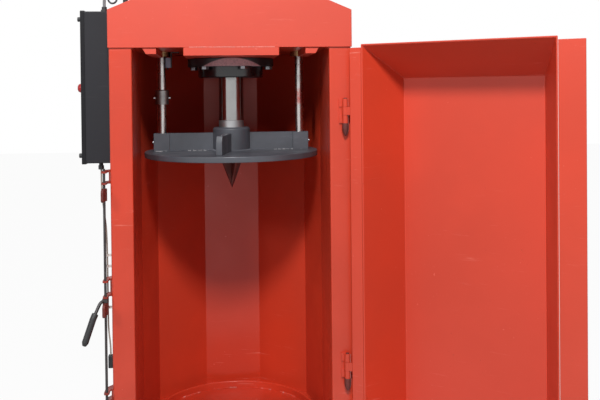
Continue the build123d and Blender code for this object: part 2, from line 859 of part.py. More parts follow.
with BuildPart() as door_knuckles:
    for low_z in (hinge_upper_z, hinge_lower_z):
        with BuildSketch(door_plane.offset(low_z + knuckle_height + knuckle_gap)) as tab_plan:
            Circle(knuckle_dia / 2 + 1)
            with Locations((door_reach / 2, inside_y + door_t / 2)):
                Rectangle(door_reach, door_t)
            Circle(hinge_pin_dia / 2 + pin_fit, mode=Mode.SUBTRACT)
        extrude(amount=knuckle_height)
save(door_knuckles.part, "door_knuckles")

# Lock: a turning shaft in three brackets, with three cams and a handle

lock_y = door_face - door_t - 1.0 - cam_t / 2

bracket_y = front_y + post_depth / 8
bracket_out = lock_x + lug_edge
bracket_in = lock_x - lug_edge

with BuildPart() as lock_brackets:
    for low, height in brackets:
        for lug_z in (floor_z + low, floor_z + low + height - lug_t):
            with BuildSketch(Plane.XY.offset(lug_z)) as lug_plan:
                with BuildLine():
                    Polyline(
                        (-cabinet_half, bracket_y),
                        (-cabinet_half, bracket_y + lug_foot),
                        (-bracket_out, bracket_y + lug_foot / 3),
                        (-bracket_out, lock_y - lug_edge),
                        (-bracket_in, lock_y - lug_edge),
                        (-bracket_in, bracket_y),
                        close=True,
                    )
                make_face()
                fillet(lug_plan.vertices().group_by(Axis.Y)[0], radius=5)
                with Locations((-lock_x, lock_y)):
                    Circle(shaft_dia / 2 + pin_fit, mode=Mode.SUBTRACT)
            extrude(amount=lug_t)
        with BuildSketch(Plane.XY.offset(floor_z + low)) as lug_back:
            with Locations((-cabinet_half - lug_back_t / 2, bracket_y + lug_foot / 2)):
                Rectangle(lug_back_t, lug_foot)
        extrude(amount=height)
save(lock_brackets.part, "lock_brackets")

shaft_bottom = floor_z + brackets[0][0] - shaft_below
shaft_top = floor_z + brackets[2][0] + brackets[2][1] + 8

with BuildPart() as lock_shaft:
    with BuildSketch(Plane.XY.offset(shaft_bottom)) as shaft_plan:
        with Locations((-lock_x, lock_y)):
            Circle(shaft_dia / 2)
    extrude(amount=shaft_top - shaft_bottom)
    chamfer(lock_shaft.edges().filter_by(GeomType.CIRCLE), length=1)
save(lock_shaft.part, "lock_shaft")

with BuildPart() as lock_cams:
    for low, height in brackets:
        with BuildSketch(Plane.XY.offset(floor_z + low - cam_drop - cam_height)) as cam_plan:
            with Locations((-lock_x, lock_y)):
                Circle(shaft_dia / 2 + 5)
            with Locations((-lock_x, lock_y - cam_reach / 2)):
                Rectangle(cam_t, cam_reach)
            with Locations((-lock_x, lock_y)):
                Circle(shaft_dia / 2, mode=Mode.SUBTRACT)
        extrude(amount=cam_height)
    toes = lock_cams.edges().filter_by(Axis.X).group_by(Axis.Y)[0]
    chamfer(toes, length=6)
save(lock_cams.part, "lock_cams")

# Handle, in an upright plane through the shaft

heading = math.radians(handle_heading)
reach_dir = (math.cos(heading), math.sin(heading), 0)
handle_side = (math.sin(heading), -math.cos(heading), 0)
handle_plane = Plane(origin=(-lock_x, lock_y, 0), x_dir=reach_dir, z_dir=handle_side)
root_z = floor_z + brackets[1][0] - cam_drop / 2
handle_points = [
    (shaft_dia / 2 + 4, root_z),
    (shaft_dia / 2 + 16, root_z - 4),
    (46, root_z - 46),
    (76, root_z - 112),
]
handle_radii = [18, 45]

arm_route = FilletPolyline(*handle_points, radius=handle_radii, mode=Mode.PRIVATE)
arm_world = handle_plane * arm_route
grip_world = arm_world.trim(1 - grip_length / arm_world.length, 1)

with BuildPart() as lock_handle:
    with BuildSketch(Plane.XY.offset(root_z - cam_drop / 2 + 0.5)) as boss_plan:
        with Locations((-lock_x, lock_y)):
            Circle(shaft_dia / 2 + 6)
    extrude(amount=cam_drop - 1)
    with BuildSketch(Plane(arm_world @ 0, z_dir=arm_world % 0)) as arm_section:
        Circle(handle_dia / 2 - 1)
    sweep(path=arm_world)
    with BuildSketch(Plane.XY.offset(root_z - cam_drop)) as boss_bore:
        with Locations((-lock_x, lock_y)):
            Circle(shaft_dia / 2)
    extrude(amount=2 * cam_drop, mode=Mode.SUBTRACT)
save(lock_handle.part, "lock_handle")

with BuildPart() as handle_grip:
    with BuildSketch(Plane(grip_world @ 0, z_dir=grip_world % 0)) as grip_section:
        Circle(grip_dia / 2)
        Circle(handle_dia / 2 - 1, mode=Mode.SUBTRACT)
    sweep(path=grip_world)
    with BuildSketch(Plane(grip_world @ 1, z_dir=grip_world % 1)) as grip_end:
        Circle(grip_dia / 2)
    extrude(amount=grip_dia / 2, taper=25)
save(handle_grip.part, "handle_grip")

# Control box on the left side, its cover hinged at the rear edge

box_left = -(cabinet_half + box_depth)
box_rear = box_front + box_length
box_top = box_bottom + box_height
box_mid = (box_front + box_rear) / 2
box_mid_z = (box_bottom + box_top) / 2
cover_inside = box_left - cover_seal
cover_face = cover_inside - cover_t


def side_sketch(x):
    """Plane facing -X at the given x; its first axis is -Y, its second +Z."""
    return Plane(origin=(x, 0, 0), x_dir=(0, -1, 0), z_dir=(-1, 0, 0))


with BuildPart() as box_body:
    with BuildSketch(side_sketch(-cabinet_half)) as body_outer:
        with Locations((-box_mid, box_mid_z)):
            RectangleRounded(box_length, box_height, 4)
    extrude(amount=box_depth)
    with BuildSketch(side_sketch(-cabinet_half - box_t)) as body_inner:
        with Locations((-box_mid, box_mid_z)):
            Rectangle(box_length - 2 * box_t, box_height - 2 * box_t)
    extrude(amount=box_depth - 2 * box_t, mode=Mode.SUBTRACT)
    with BuildSketch(side_sketch(box_left)) as body_mouth:
        with Locations((-box_mid, box_mid_z)):
            Rectangle(box_length - 2 * box_flange, box_height - 2 * box_flange)
    extrude(amount=-2 * box_t, mode=Mode.SUBTRACT)
save(box_body.part, "box_body")

cover_over = cover_gap + cover_t
cover_lock_y = box_front + cover_lock_in
cover_locks_z = (box_bottom + cover_lock_in, box_top - cover_lock_in)
box_hinge_x = box_left + cover_rim + 1.0
box_hinge_y = box_rear + cover_over + box_knuckle / 2
box_hinges_z = (box_bottom + 70.0, box_top - 70.0 - 2 * box_knuckle_h)

with BuildPart() as box_cover:
    with BuildSketch(side_sketch(cover_inside)) as cover_plan:
        with Locations((-box_mid, box_mid_z)):
            RectangleRounded(box_length + 2 * cover_over, box_height + 2 * cover_over, 5)
        with Locations(*[(-cover_lock_y, z) for z in cover_locks_z]):
            Circle(lock_shank_dia / 2 + pin_fit, mode=Mode.SUBTRACT)
        with Locations((-stop_button_y, stop_button_z)):
            Circle(stop_barrel_dia / 2, mode=Mode.SUBTRACT)
    extrude(amount=cover_t)
    with BuildSketch(side_sketch(cover_inside)) as rim_plan:
        with Locations((-box_mid, box_mid_z)):
            RectangleRounded(box_length + 2 * cover_over, box_height + 2 * cover_over, 5)
            RectangleRounded(box_length + 2 * cover_gap, box_height + 2 * cover_gap, 3, mode=Mode.SUBTRACT)
    extrude(amount=-(cover_rim + cover_seal))
    for z in box_hinges_z:
        with BuildSketch(Plane.XY.offset(z + box_knuckle_h + knuckle_gap)) as cover_knuckle:
            with Locations((box_hinge_x, box_hinge_y)):
                Circle(box_knuckle / 2)
            with Locations((box_hinge_x - box_knuckle / 2, box_hinge_y - box_knuckle / 4)):
                Rectangle(box_knuckle, box_knuckle / 2)
            with Locations((box_hinge_x, box_hinge_y)):
                Circle(box_pin_dia / 2 + pin_fit, mode=Mode.SUBTRACT)
        extrude(amount=box_knuckle_h)
save(box_cover.part, "box_cover")

with BuildPart() as box_hinges:
    for z in box_hinges_z:
        with BuildSketch(Plane.XY.offset(z)) as box_leaf:
            with Locations((box_hinge_x, box_hinge_y)):
                Circle(box_knuckle / 2)
            with Locations((box_hinge_x + 9, box_rear + 1.5)):
                Rectangle(16, 3)
            with Locations((box_hinge_x + 4, box_hinge_y - 1)):
                Rectangle(8, 3)
            with Locations((box_hinge_x + 6.5, (box_rear + box_hinge_y) / 2)):
                Rectangle(3, box_hinge_y - box_rear)
        extrude(amount=box_knuckle_h)
        with BuildSketch(Plane.XY.offset(z)) as box_pin:
            with Locations((box_hinge_x, box_hinge_y)):
                Circle(box_pin_dia / 2)
        extrude(amount=2 * box_knuckle_h + knuckle_gap + 2)
save(box_hinges.part, "box_hinges")

tongue_x = box_left + box_t + tongue_room
for z, turn, name in zip(cover_locks_z, (1, -1), ("lower_cover_lock", "upper_cover_lock")):
    with BuildPart() as cover_lock:
        with BuildSketch(side_sketch(cover_face)) as knob_plan:
            with Locations((-cover_lock_y, z)):
                Circle(lock_knob_dia / 2)
                Rectangle(lock_knob_dia * 0.6, lock_knob_dia * 0.2, mode=Mode.SUBTRACT)
        extrude(amount=lock_knob_out)
        fillet(cover_lock.edges().filter_by(GeomType.CIRCLE).group_by(Axis.X)[0], radius=1.5)
        with BuildSketch(side_sketch(cover_face)) as knob_floor:
            with Locations((-cover_lock_y, z)):
                Circle(lock_knob_dia / 2)
        extrude(amount=lock_knob_out / 2)
        with BuildSketch(side_sketch(tongue_x + lock_tongue_t)) as shank_plan:
            with Locations((-cover_lock_y, z)):
                Circle(lock_shank_dia / 2)
        extrude(amount=tongue_x + lock_tongue_t - cover_face)
        with BuildSketch(side_sketch(tongue_x + lock_tongue_t)) as tongue_plan:
            with Locations((-cover_lock_y, z + turn * lock_tongue / 2)):
                Rectangle(lock_shank_dia, lock_tongue)
        extrude(amount=lock_tongue_t)
    save(cover_lock.part, name)

with BuildPart() as stop_button_base:
    with BuildSketch(side_sketch(cover_face)) as base_ring:
        with Locations((-stop_button_y, stop_button_z)):
            Circle(stop_button_dia / 2)
    extrude(amount=stop_ring_t)
    with BuildSketch(side_sketch(cover_inside + stop_block)) as base_barrel:
        with Locations((-stop_button_y, stop_button_z)):
            Circle(stop_barrel_dia / 2)
    extrude(amount=stop_block + cover_t)
    with BuildSketch(side_sketch(cover_inside + stop_block)) as base_block:
        with Locations((-stop_button_y, stop_button_z)):
            RectangleRounded(stop_button_dia, stop_button_dia * 1.3, 2)
    extrude(amount=stop_block)
    with BuildSketch(side_sketch(cover_face - stop_ring_t)) as base_bore:
        with Locations((-stop_button_y, stop_button_z)):
            Circle(stop_stem_dia / 2 + pin_fit)
    extrude(amount=-(stop_ring_t + cover_t + stop_stem_in), mode=Mode.SUBTRACT)
save(stop_button_base.part, "stop_button_base")

button_in = cover_face - stop_ring_t - stop_travel - 2.0

button_head_x = button_in - stop_head_t
stem_end = cover_face + stop_stem_in - stop_travel - 2.0

with BuildPart() as stop_button:
    with BuildSketch(side_sketch(button_in)) as button_head:
        with Locations((-stop_button_y, stop_button_z)):
            Circle(stop_button_dia / 2)
    extrude(amount=stop_head_t)
    fillet(stop_button.edges().group_by(Axis.X)[0], radius=stop_button_dia * 0.35)
    fillet(stop_button.edges().group_by(Axis.X)[-1], radius=2)
    with BuildSketch(side_sketch(stem_end)) as button_stem:
        with Locations((-stop_button_y, stop_button_z)):
            Circle(stop_stem_dia / 2)
    extrude(amount=stem_end - button_in)
save(stop_button.part, "stop_button")

plate_x = -cabinet_half - box_t - plate_off

with BuildPart() as mounting_plate:
    with BuildSketch(side_sketch(plate_x)) as inner_plate:
        with Locations((-box_mid, box_mid_z)):
            Rectangle(box_length - plate_margin, box_height - plate_margin)
    extrude(amount=box_t)
    with BuildSketch(side_sketch(plate_x)) as stand_offs:
        with Locations((-box_mid, box_mid_z)):
            with GridLocations(box_length - plate_margin - 24, box_height - plate_margin - 24, 2, 2):
                Circle(4)
    extrude(amount=-plate_off)
save(mounting_plate.part, "mounting_plate")

rail_x = plate_x - box_t

with BuildPart() as din_rail:
    with BuildSketch(Plane.XZ.offset(-(box_mid + rail_length / 2))) as rail_section:
        with BuildLine():
            Polyline(
                (rail_x, rail_z - 12),
                (rail_x, rail_z + 12),
                (rail_x - rail_depth + 1, rail_z + 12),
                (rail_x - rail_depth + 1, rail_z + 17),
                (rail_x - rail_depth, rail_z + 17),
                (rail_x - rail_depth, rail_z + 11),
                (rail_x - 1, rail_z + 11),
                (rail_x - 1, rail_z - 11),
                (rail_x - rail_depth, rail_z - 11),
                (rail_x - rail_depth, rail_z - 17),
                (rail_x - rail_depth + 1, rail_z - 17),
                (rail_x - rail_depth + 1, rail_z - 12),
                close=True,
            )
        make_face()
    extrude(amount=rail_length)
save(din_rail.part, "din_rail")

contactor_x = rail_x - rail_depth

with BuildPart() as contactors:
    for y in (box_mid - 60, box_mid + 10):
        with BuildSketch(side_sketch(contactor_x)) as contactor_base:
            with Locations((-y, rail_z)):
                Rectangle(contactor_width, contactor_height)
        extrude(amount=contactor_depth * 0.6)
        with BuildSketch(side_sketch(contactor_x - contactor_depth * 0.6)) as contactor_front:
            with Locations((-y, rail_z)):
                Rectangle(contactor_width, contactor_height * 0.55)
        extrude(amount=contactor_depth * 0.4)
save(contactors.part, "contactors")

# Glands: on the box's top and bottom, on the header's slope and on its flat top

slope_fall = header_rise / (cabinet_half - header_flat_half)

with BuildPart() as cable_glands:
    for x, y, low, high, size in (
        (conduit_x, conduit_y, box_top, box_top + gland_height, gland_hex),
        (lead_x, lead_y, box_bottom - gland_height, box_bottom, gland_hex * 0.8),
        (top_gland_x, conduit_y, header_top, header_top + gland_height, gland_hex),
        (top_gland_x, cable_y, header_top, header_top + gland_height, gland_hex * 0.8),
        (slope_gland_x, slope_gland_y, header_corner, slope_gland_top, gland_hex),
    ):
        with BuildSketch(Plane.XY.offset(low)) as gland_body:
            with Locations((x, y)):
                RegularPolygon(size / 2, 6, major_radius=False)
        extrude(amount=(high - low) * 0.6)
        with BuildSketch(Plane.XY.offset(low)) as gland_nut:
            with Locations((x, y)):
                Circle(size * 0.42)
        extrude(amount=high - low)
    with BuildSketch(Plane.XZ.offset(-slope_gland_y - gland_hex)) as under_slope:
        with BuildLine():
            Polyline(
                (-cabinet_half, header_corner),
                (-header_flat_half, header_top),
                (-header_flat_half, header_corner - 20),
                (-cabinet_half, header_corner - 20),
                close=True,
            )
        make_face()
    extrude(amount=2 * gland_hex, mode=Mode.SUBTRACT)
save(cable_glands.part, "cable_glands")

# Door sensor on the post and the lead that runs to it in clips

with BuildPart() as door_sensor:
    with BuildSketch(side_sketch(-cabinet_half)) as sensor_plan:
        with Locations((-sensor_y, sensor_top - sensor_height / 2)):
            RectangleRounded(sensor_width, sensor_height, 3)
    extrude(amount=sensor_depth)
    fillet(door_sensor.edges().group_by(Axis.X)[0], radius=2)
save(door_sensor.part, "door_sensor")

with BuildPart() as lead_clips:
    for z in clip_heights:
        with BuildSketch(Plane.XY.offset(z)) as clip_plan:
            with Locations((-clip_x, clip_y)):
                Circle(lead_dia / 2 + 2)
            with Locations(((-cabinet_half - clip_x) / 2, clip_y)):
                Rectangle(clip_x - cabinet_half, 3)
            with Locations((-cabinet_half - 1, clip_y)):
                Rectangle(2, 12)
            with Locations((-clip_x, clip_y)):
                Circle(lead_dia / 2 + 0.05, mode=Mode.SUBTRACT)
        extrude(amount=8)
save(lead_clips.part, "lead_clips")

sensor_x = cabinet_half + sensor_depth / 2
gland_tip = box_bottom - gland_height
lead_points = [
    (lead_x, lead_y, gland_tip),
    (lead_x, lead_y, gland_tip - 44),
    (lead_x + 5, lead_y - 16, gland_tip - 96),
    (lead_x + 17, lead_y - 48, gland_tip - 146),
    (-clip_x, clip_y, gland_tip - 206),
    (-clip_x, clip_y, sensor_top + 105),
    (-clip_x + 3, clip_y - 12, sensor_top + 65),
    (-sensor_x, sensor_y, sensor_top + 30),
    (-sensor_x, sensor_y, sensor_top),
]

conduit_start = box_top + gland_height
conduit_points = [
    (conduit_x, conduit_y, conduit_start),
    (conduit_x, conduit_y, conduit_start + 66),
    (conduit_x + 24, conduit_y, conduit_start + 146),
    (conduit_x + 94, conduit_y, conduit_start + 202),
    (conduit_x + 180, conduit_y, conduit_start + 212),
    (conduit_x + 252, conduit_y, conduit_start + 184),
    (top_gland_x, conduit_y, header_top + gland_height + 50),
    (top_gland_x, conduit_y, header_top + gland_height),
]

loop_right = slope_gland_x - 21
loop_left = loop_right - loop_width
cable_points = [
    (slope_gland_x, slope_gland_y, slope_gland_top),
    (slope_gland_x, slope_gland_y, slope_gland_top + 24),
    (slope_gland_x - 9, slope_gland_y - 24, slope_gland_top + 46),
    (loop_right + 3, cable_y + 2, slope_gland_top + 28),
    (loop_right, cable_y, loop_low + 11),
    (loop_right - 9, cable_y, loop_low),
    (loop_left + 9, cable_y, loop_low),
    (loop_left, cable_y, loop_low + 11),
    (loop_left, cable_y + 1, loop_low + 46),
    (loop_left + 4, cable_y, loop_low + 104),
    (loop_left + 31, cable_y, loop_low + 166),
    (loop_left + 91, cable_y, loop_low + 211),
    (loop_left + 171, cable_y, loop_low + 216),
    (loop_left + 240, cable_y, loop_low + 180),
    (top_gland_x, cable_y, header_top + gland_height + 52),
    (top_gland_x, cable_y, header_top + gland_height),
]


def cord(points, dia, label):
    """Round tube along straight runs and tangent arcs; prints its radii."""
    radii = route_radii(points)
    route = FilletPolyline(*points, radius=radii, mode=Mode.PRIVATE)
    with BuildPart() as tube:
        with BuildLine() as path:
            add(route)
        with BuildSketch(Plane(path.line @ 0, z_dir=path.line % 0)) as round_section:
            Circle(dia / 2)
        sweep()
    save(tube.part, label)
    length = route.length
    share = tube.part.volume / (math.pi * dia * dia / 4 * length)
    print(label, "radii", [round(r, 1) for r in radii], "length", round(length), "volume ratio", round(share, 4))


cord(conduit_points, conduit_dia, "conduit")
cord(cable_points, cable_dia, "looped_cable")
cord(lead_points, lead_dia, "sensor_lead")
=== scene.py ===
"""Looks of the drum crusher: paint, metal, welds, cables, light and camera, in metres."""
import json
import math

import bmesh
import bpy
from mathutils import Matrix, Vector

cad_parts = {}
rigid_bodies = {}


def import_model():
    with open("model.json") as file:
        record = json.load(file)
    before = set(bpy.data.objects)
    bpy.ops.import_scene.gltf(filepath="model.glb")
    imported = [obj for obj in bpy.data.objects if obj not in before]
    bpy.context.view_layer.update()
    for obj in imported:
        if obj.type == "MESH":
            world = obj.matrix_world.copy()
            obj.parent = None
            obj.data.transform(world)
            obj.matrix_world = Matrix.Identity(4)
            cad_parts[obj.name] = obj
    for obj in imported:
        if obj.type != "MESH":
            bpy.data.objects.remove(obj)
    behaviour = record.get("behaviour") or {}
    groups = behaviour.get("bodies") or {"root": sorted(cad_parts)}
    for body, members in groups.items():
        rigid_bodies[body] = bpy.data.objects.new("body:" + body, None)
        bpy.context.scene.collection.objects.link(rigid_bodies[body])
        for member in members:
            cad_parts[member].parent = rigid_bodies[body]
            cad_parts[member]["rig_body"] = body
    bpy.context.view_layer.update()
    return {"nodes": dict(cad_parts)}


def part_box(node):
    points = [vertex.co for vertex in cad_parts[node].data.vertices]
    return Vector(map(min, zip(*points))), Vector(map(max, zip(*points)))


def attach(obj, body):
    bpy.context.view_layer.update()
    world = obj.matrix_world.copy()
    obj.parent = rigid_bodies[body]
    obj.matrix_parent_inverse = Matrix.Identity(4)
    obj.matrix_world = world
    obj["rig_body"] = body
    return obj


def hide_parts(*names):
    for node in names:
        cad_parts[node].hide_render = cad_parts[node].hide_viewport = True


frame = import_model()

bl_info = {
    "name": "Drum crusher looks",
    "version": (1, 0, 0),
    "blender": (4, 5, 0),
    "location": "View3D > Sidebar > Crusher",
    "description": "Paint, metal, welds, cables, light and camera of a drum crusher",
    "category": "Object",
}


# Settings


class CrusherPaint(bpy.types.PropertyGroup):
    """Colours of the finishes."""

    cabinet_red: bpy.props.FloatVectorProperty(
        name="Cabinet red", description="Paint of the cabinet and the door",
        default=(0.65, 0.052, 0.020), subtype="COLOR", size=3, min=0, max=1)
    old_red: bpy.props.FloatVectorProperty(
        name="Old red", description="Paint of the hinge pins, the brackets and the spike",
        default=(0.15, 0.02, 0.014), subtype="COLOR", size=3, min=0, max=1)
    ram_blue: bpy.props.FloatVectorProperty(
        name="Ram blue-grey", description="Paint of the platen and its ribs",
        default=(0.075, 0.08, 0.096), subtype="COLOR", size=3, min=0, max=1)
    box_grey: bpy.props.FloatVectorProperty(
        name="Box grey", description="Paint of the control box",
        default=(0.022, 0.022, 0.026), subtype="COLOR", size=3, min=0, max=1)
    stop_red: bpy.props.FloatVectorProperty(
        name="Stop red", description="Plastic of the emergency stop",
        default=(0.5, 0.012, 0.012), subtype="COLOR", size=3, min=0, max=1)


class CrusherSizes(bpy.types.PropertyGroup):
    """Sizes of what is added round the frame."""

    edge_round: bpy.props.FloatProperty(
        name="Edge round", description="Usual radius on the edges of plates and castings",
        default=0.0012, min=0.0, max=0.01, unit="LENGTH")
    weld_pitch: bpy.props.FloatProperty(
        name="Weld pitch", description="Distance between the ripples of a weld",
        default=0.0026, min=0.001, max=0.02, unit="LENGTH")
    key_strength: bpy.props.FloatProperty(
        name="Key light", description="Power of the front lamp",
        default=150.0, min=0.0, max=2000.0, unit="POWER")
    side_strength: bpy.props.FloatProperty(
        name="Side light", description="Power of the lamp on the left",
        default=34.0, min=0.0, max=2000.0, unit="POWER")


# The camera, fitted to the photo's edges

camera_place = (-0.0246, -2.7470, 1.2587)
camera_yaw, camera_pitch, camera_roll = 0.0968, 0.0132, -0.0101
camera_lens = 46.88
camera_shift_y = -0.1658

# Fixed values of the looks

peel_depth = 0.001          # height of the orange peel at full strength
line_depth = 0.0002         # height of the turning lines
mould_depth = 0.0006        # height of the grain on plastic
coat_rough = 0.2            # roughness of the clear coat
lamp_side = 0.5             # both sides of a lamp
ambient = 0.09              # light of the surroundings on what isn't seen directly
floor_grey = 0.6            # diffuse base of the floor under its shadows
floor_glow = 0.96           # share of the floor that is plain white to the camera
floor_half = 14.0           # half of the floor's side
floor_drop = 0.0005         # floor under the part's feet


# Shared helpers


class Tree:
    """Short way to wire a node tree."""

    def __init__(self, tree):
        self.tree = tree

    def add(self, kind, **values):
        node = self.tree.nodes.new(kind)
        for key, value in values.items():
            setattr(node, key, value)
        return node

    def link(self, a, b):
        self.tree.links.new(a, b)

    def math(self, op, a, b=None, clamp=False):
        node = self.add("ShaderNodeMath", operation=op, use_clamp=clamp)
        for i, value in enumerate((a, b)):
            if value is None:
                continue
            if isinstance(value, (int, float)):
                node.inputs[i].default_value = value
            else:
                self.link(value, node.inputs[i])
        return node.outputs[0]

    def spread(self, value, low, high, to_low=0.0, to_high=1.0, smooth=True):
        node = self.add("ShaderNodeMapRange", clamp=True)
        node.interpolation_type = "SMOOTHSTEP" if smooth else "LINEAR"
        self.link(value, node.inputs["Value"])
        for key, number in (("From Min", low), ("From Max", high),
                            ("To Min", to_low), ("To Max", to_high)):
            if isinstance(number, (int, float)):
                node.inputs[key].default_value = number
            else:
                self.link(number, node.inputs[key])
        return node.outputs["Result"]

    def noise(self, vector, scale, detail=3.0, rough=0.5):
        node = self.add("ShaderNodeTexNoise")
        node.inputs["Detail"].default_value = detail
        node.inputs["Roughness"].default_value = rough
        if isinstance(scale, (int, float)):
            node.inputs["Scale"].default_value = scale
        else:
            self.link(scale, node.inputs["Scale"])
        self.link(vector, node.inputs["Vector"])
        return node.outputs["Fac"]

    def mix(self, fac, a, b):
        node = self.add("ShaderNodeMix", data_type="RGBA")
        for socket, value in ((node.inputs[0], fac), (node.inputs[6], a), (node.inputs[7], b)):
            if isinstance(value, (int, float)):
                socket.default_value = value
            elif isinstance(value, tuple):
                socket.default_value = (*value[:3], 1)
            else:
                self.link(value, socket)
        return node.outputs[2]


def shade(colour, factor):
    """Darker or lighter tone of a colour."""
    return tuple(c * factor for c in colour)


def new_group(name, inputs, outputs):
    """Empty shader group with named sockets."""
    tree = bpy.data.node_groups.new(name, "ShaderNodeTree")
    for label, kind, value in inputs:
        socket = tree.interface.new_socket(label, in_out="INPUT", socket_type=kind)
        if value is not None:
            socket.default_value = value
    for label, kind in outputs:
        tree.interface.new_socket(label, in_out="OUTPUT", socket_type=kind)
    work = Tree(tree)
    return work, work.add("NodeGroupInput"), work.add("NodeGroupOutput")


def sprayed_skin():
    """Sprayed paint: broad tone, fine orange peel, thin rubs and dark specks."""
    name = "sprayed_skin"
    if name in bpy.data.node_groups:
        return bpy.data.node_groups[name]
    w, gi, go = new_group(
        name,
        [("Vector", "NodeSocketVector", None), ("Peel scale", "NodeSocketFloat", 260.0),
         ("Tone scale", "NodeSocketFloat", 3.0), ("Rub scale", "NodeSocketFloat", 9.0)],
        [("Tone", "NodeSocketFloat"), ("Peel", "NodeSocketFloat"), ("Rubs", "NodeSocketFloat"),
         ("Specks", "NodeSocketFloat"), ("Chips", "NodeSocketFloat")],
    )
    v = gi.outputs["Vector"]
    broad = w.noise(v, gi.outputs["Tone scale"], 4, 0.55)
    w.link(w.spread(broad, 0.32, 0.7), go.inputs["Tone"])
    w.link(w.noise(v, gi.outputs["Peel scale"], 2, 0.5), go.inputs["Peel"])
    long = w.add("ShaderNodeMapping")
    long.inputs["Scale"].default_value = (1.0, 1.0, 14.0)
    long.inputs["Rotation"].default_value = (0.0, math.radians(9), 0.0)
    w.link(v, long.inputs["Vector"])
    streak = w.noise(long.outputs["Vector"], gi.outputs["Rub scale"], 6, 0.65)
    patch = w.noise(v, 2.3, 2, 0.5)
    rubs = w.math("MULTIPLY", w.spread(streak, 0.60, 0.72), w.spread(patch, 0.5, 0.68))
    w.link(rubs, go.inputs["Rubs"])
    dots = w.noise(v, 75.0, 3, 0.7)
    specks = w.math("MULTIPLY", w.spread(dots, 0.69, 0.74), w.spread(patch, 0.42, 0.62))
    w.link(specks, go.inputs["Specks"])
    bits = w.noise(v, 130.0, 2, 0.5)
    where = w.noise(v, 6.0, 2, 0.5)
    chips = w.math("MULTIPLY", w.spread(bits, 0.735, 0.765), w.spread(where, 0.48, 0.6))
    w.link(chips, go.inputs["Chips"])
    return w.tree


def ground_grain():
    """Turned or ground metal: fine lines round or along the axis, and a smudge."""
    name = "ground_grain"
    if name in bpy.data.node_groups:
        return bpy.data.node_groups[name]
    w, gi, go = new_group(
        name,
        [("Vector", "NodeSocketVector", None), ("Line scale", "NodeSocketFloat", 900.0),
         ("Across", "NodeSocketVector", (0.02, 0.02, 1.0))],
        [("Lines", "NodeSocketFloat"), ("Smudge", "NodeSocketFloat")],
    )
    stretch = w.add("ShaderNodeVectorMath", operation="MULTIPLY")
    w.link(gi.outputs["Vector"], stretch.inputs[0])
    w.link(gi.outputs["Across"], stretch.inputs[1])
    w.link(w.noise(stretch.outputs["Vector"], gi.outputs["Line scale"], 2, 0.6), go.inputs["Lines"])
    w.link(w.spread(w.noise(gi.outputs["Vector"], 22.0, 3, 0.6), 0.35, 0.7), go.inputs["Smudge"])
    return w.tree


def place_group(w, tree, vector, **values):
    """Group node at work, its sockets set by their names."""
    node = w.add("ShaderNodeGroup", node_tree=tree)
    w.link(vector, node.inputs["Vector"])
    for key, value in values.items():
        node.inputs[key.replace("_", " ").capitalize()].default_value = value
    return node


def add_bump(w, shader, height, strength, distance):
    """Normal of a fine surface from a height value."""
    bump = w.add("ShaderNodeBump")
    bump.inputs["Strength"].default_value = strength
    bump.inputs["Distance"].default_value = distance
    w.link(height, bump.inputs["Height"])
    w.link(bump.outputs["Normal"], shader.inputs["Normal"])


def start_material(name):
    """New material with its tree, its shader and its object coordinates."""
    if name in bpy.data.materials:
        bpy.data.materials.remove(bpy.data.materials[name])
    material = bpy.data.materials.new(name)
    material.use_nodes = True
    w = Tree(material.node_tree)
    shader = material.node_tree.nodes["Principled BSDF"]
    coordinates = w.add("ShaderNodeTexCoord")
    return material, w, shader, coordinates.outputs["Object"]


def painted(name, colour, rough=0.36, peel=0.06, dark=0.8, rub=0.35, rub_tint=None, coat=0.15,
            peel_scale=240.0, tone_scale=3.0, rub_scale=9.0, speck=0.35, chip=0.5, shine=0.5):
    """Sprayed paint on steel."""
    material, w, shader, v = start_material(name)
    skin = place_group(w, sprayed_skin(), v, peel_scale=peel_scale, tone_scale=tone_scale,
                       rub_scale=rub_scale)
    speckled = shade(colour, 0.3)
    tint = rub_tint or tuple(min(1.0, c * 1.15 + 0.06) for c in colour)
    base = w.mix(skin.outputs["Tone"], shade(colour, dark), colour)
    base = w.mix(w.math("MULTIPLY", skin.outputs["Rubs"], rub), base, tint)
    base = w.mix(w.math("MULTIPLY", skin.outputs["Specks"], speck), base, speckled)
    base = w.mix(w.math("MULTIPLY", skin.outputs["Chips"], chip), base, tint)
    w.link(base, shader.inputs["Base Color"])
    gloss = w.spread(skin.outputs["Tone"], 0.0, 1.0, rough + 0.09, rough - 0.03)
    worn = w.math("MULTIPLY", skin.outputs["Rubs"], 0.15)
    w.link(w.math("ADD", gloss, worn), shader.inputs["Roughness"])
    add_bump(w, shader, skin.outputs["Peel"], peel, peel_depth)
    shader.inputs["Specular IOR Level"].default_value = shine
    shader.inputs["Coat Weight"].default_value = coat
    shader.inputs["Coat Roughness"].default_value = coat_rough
    return material


def bare_metal(name, colour, rough, lines, across, line_scale, dirt, metallic=1.0):
    """Turned, ground or plated metal."""
    material, w, shader, v = start_material(name)
    grain = place_group(w, ground_grain(), v, line_scale=line_scale, across=across)
    smudge = grain.outputs["Smudge"]
    dirty = w.math("MULTIPLY", smudge, dirt)
    w.link(w.mix(dirty, colour, shade(colour, 0.55)), shader.inputs["Base Color"])
    w.link(w.spread(smudge, 0.0, 1.0, rough, rough + 0.14), shader.inputs["Roughness"])
    shader.inputs["Metallic"].default_value = metallic
    if lines:
        add_bump(w, shader, grain.outputs["Lines"], lines, line_depth)
    return material


def reopen(material):
    """Tree, shader, present colour, object coordinates and their X, Y and Z of a material."""
    w = Tree(material.node_tree)
    shader = material.node_tree.nodes["Principled BSDF"]
    was = shader.inputs["Base Color"].links[0].from_socket
    coordinates = w.add("ShaderNodeTexCoord").outputs["Object"]
    parts = w.add("ShaderNodeSeparateXYZ")
    w.link(coordinates, parts.inputs[0])
    return w, shader, was, coordinates, parts.outputs


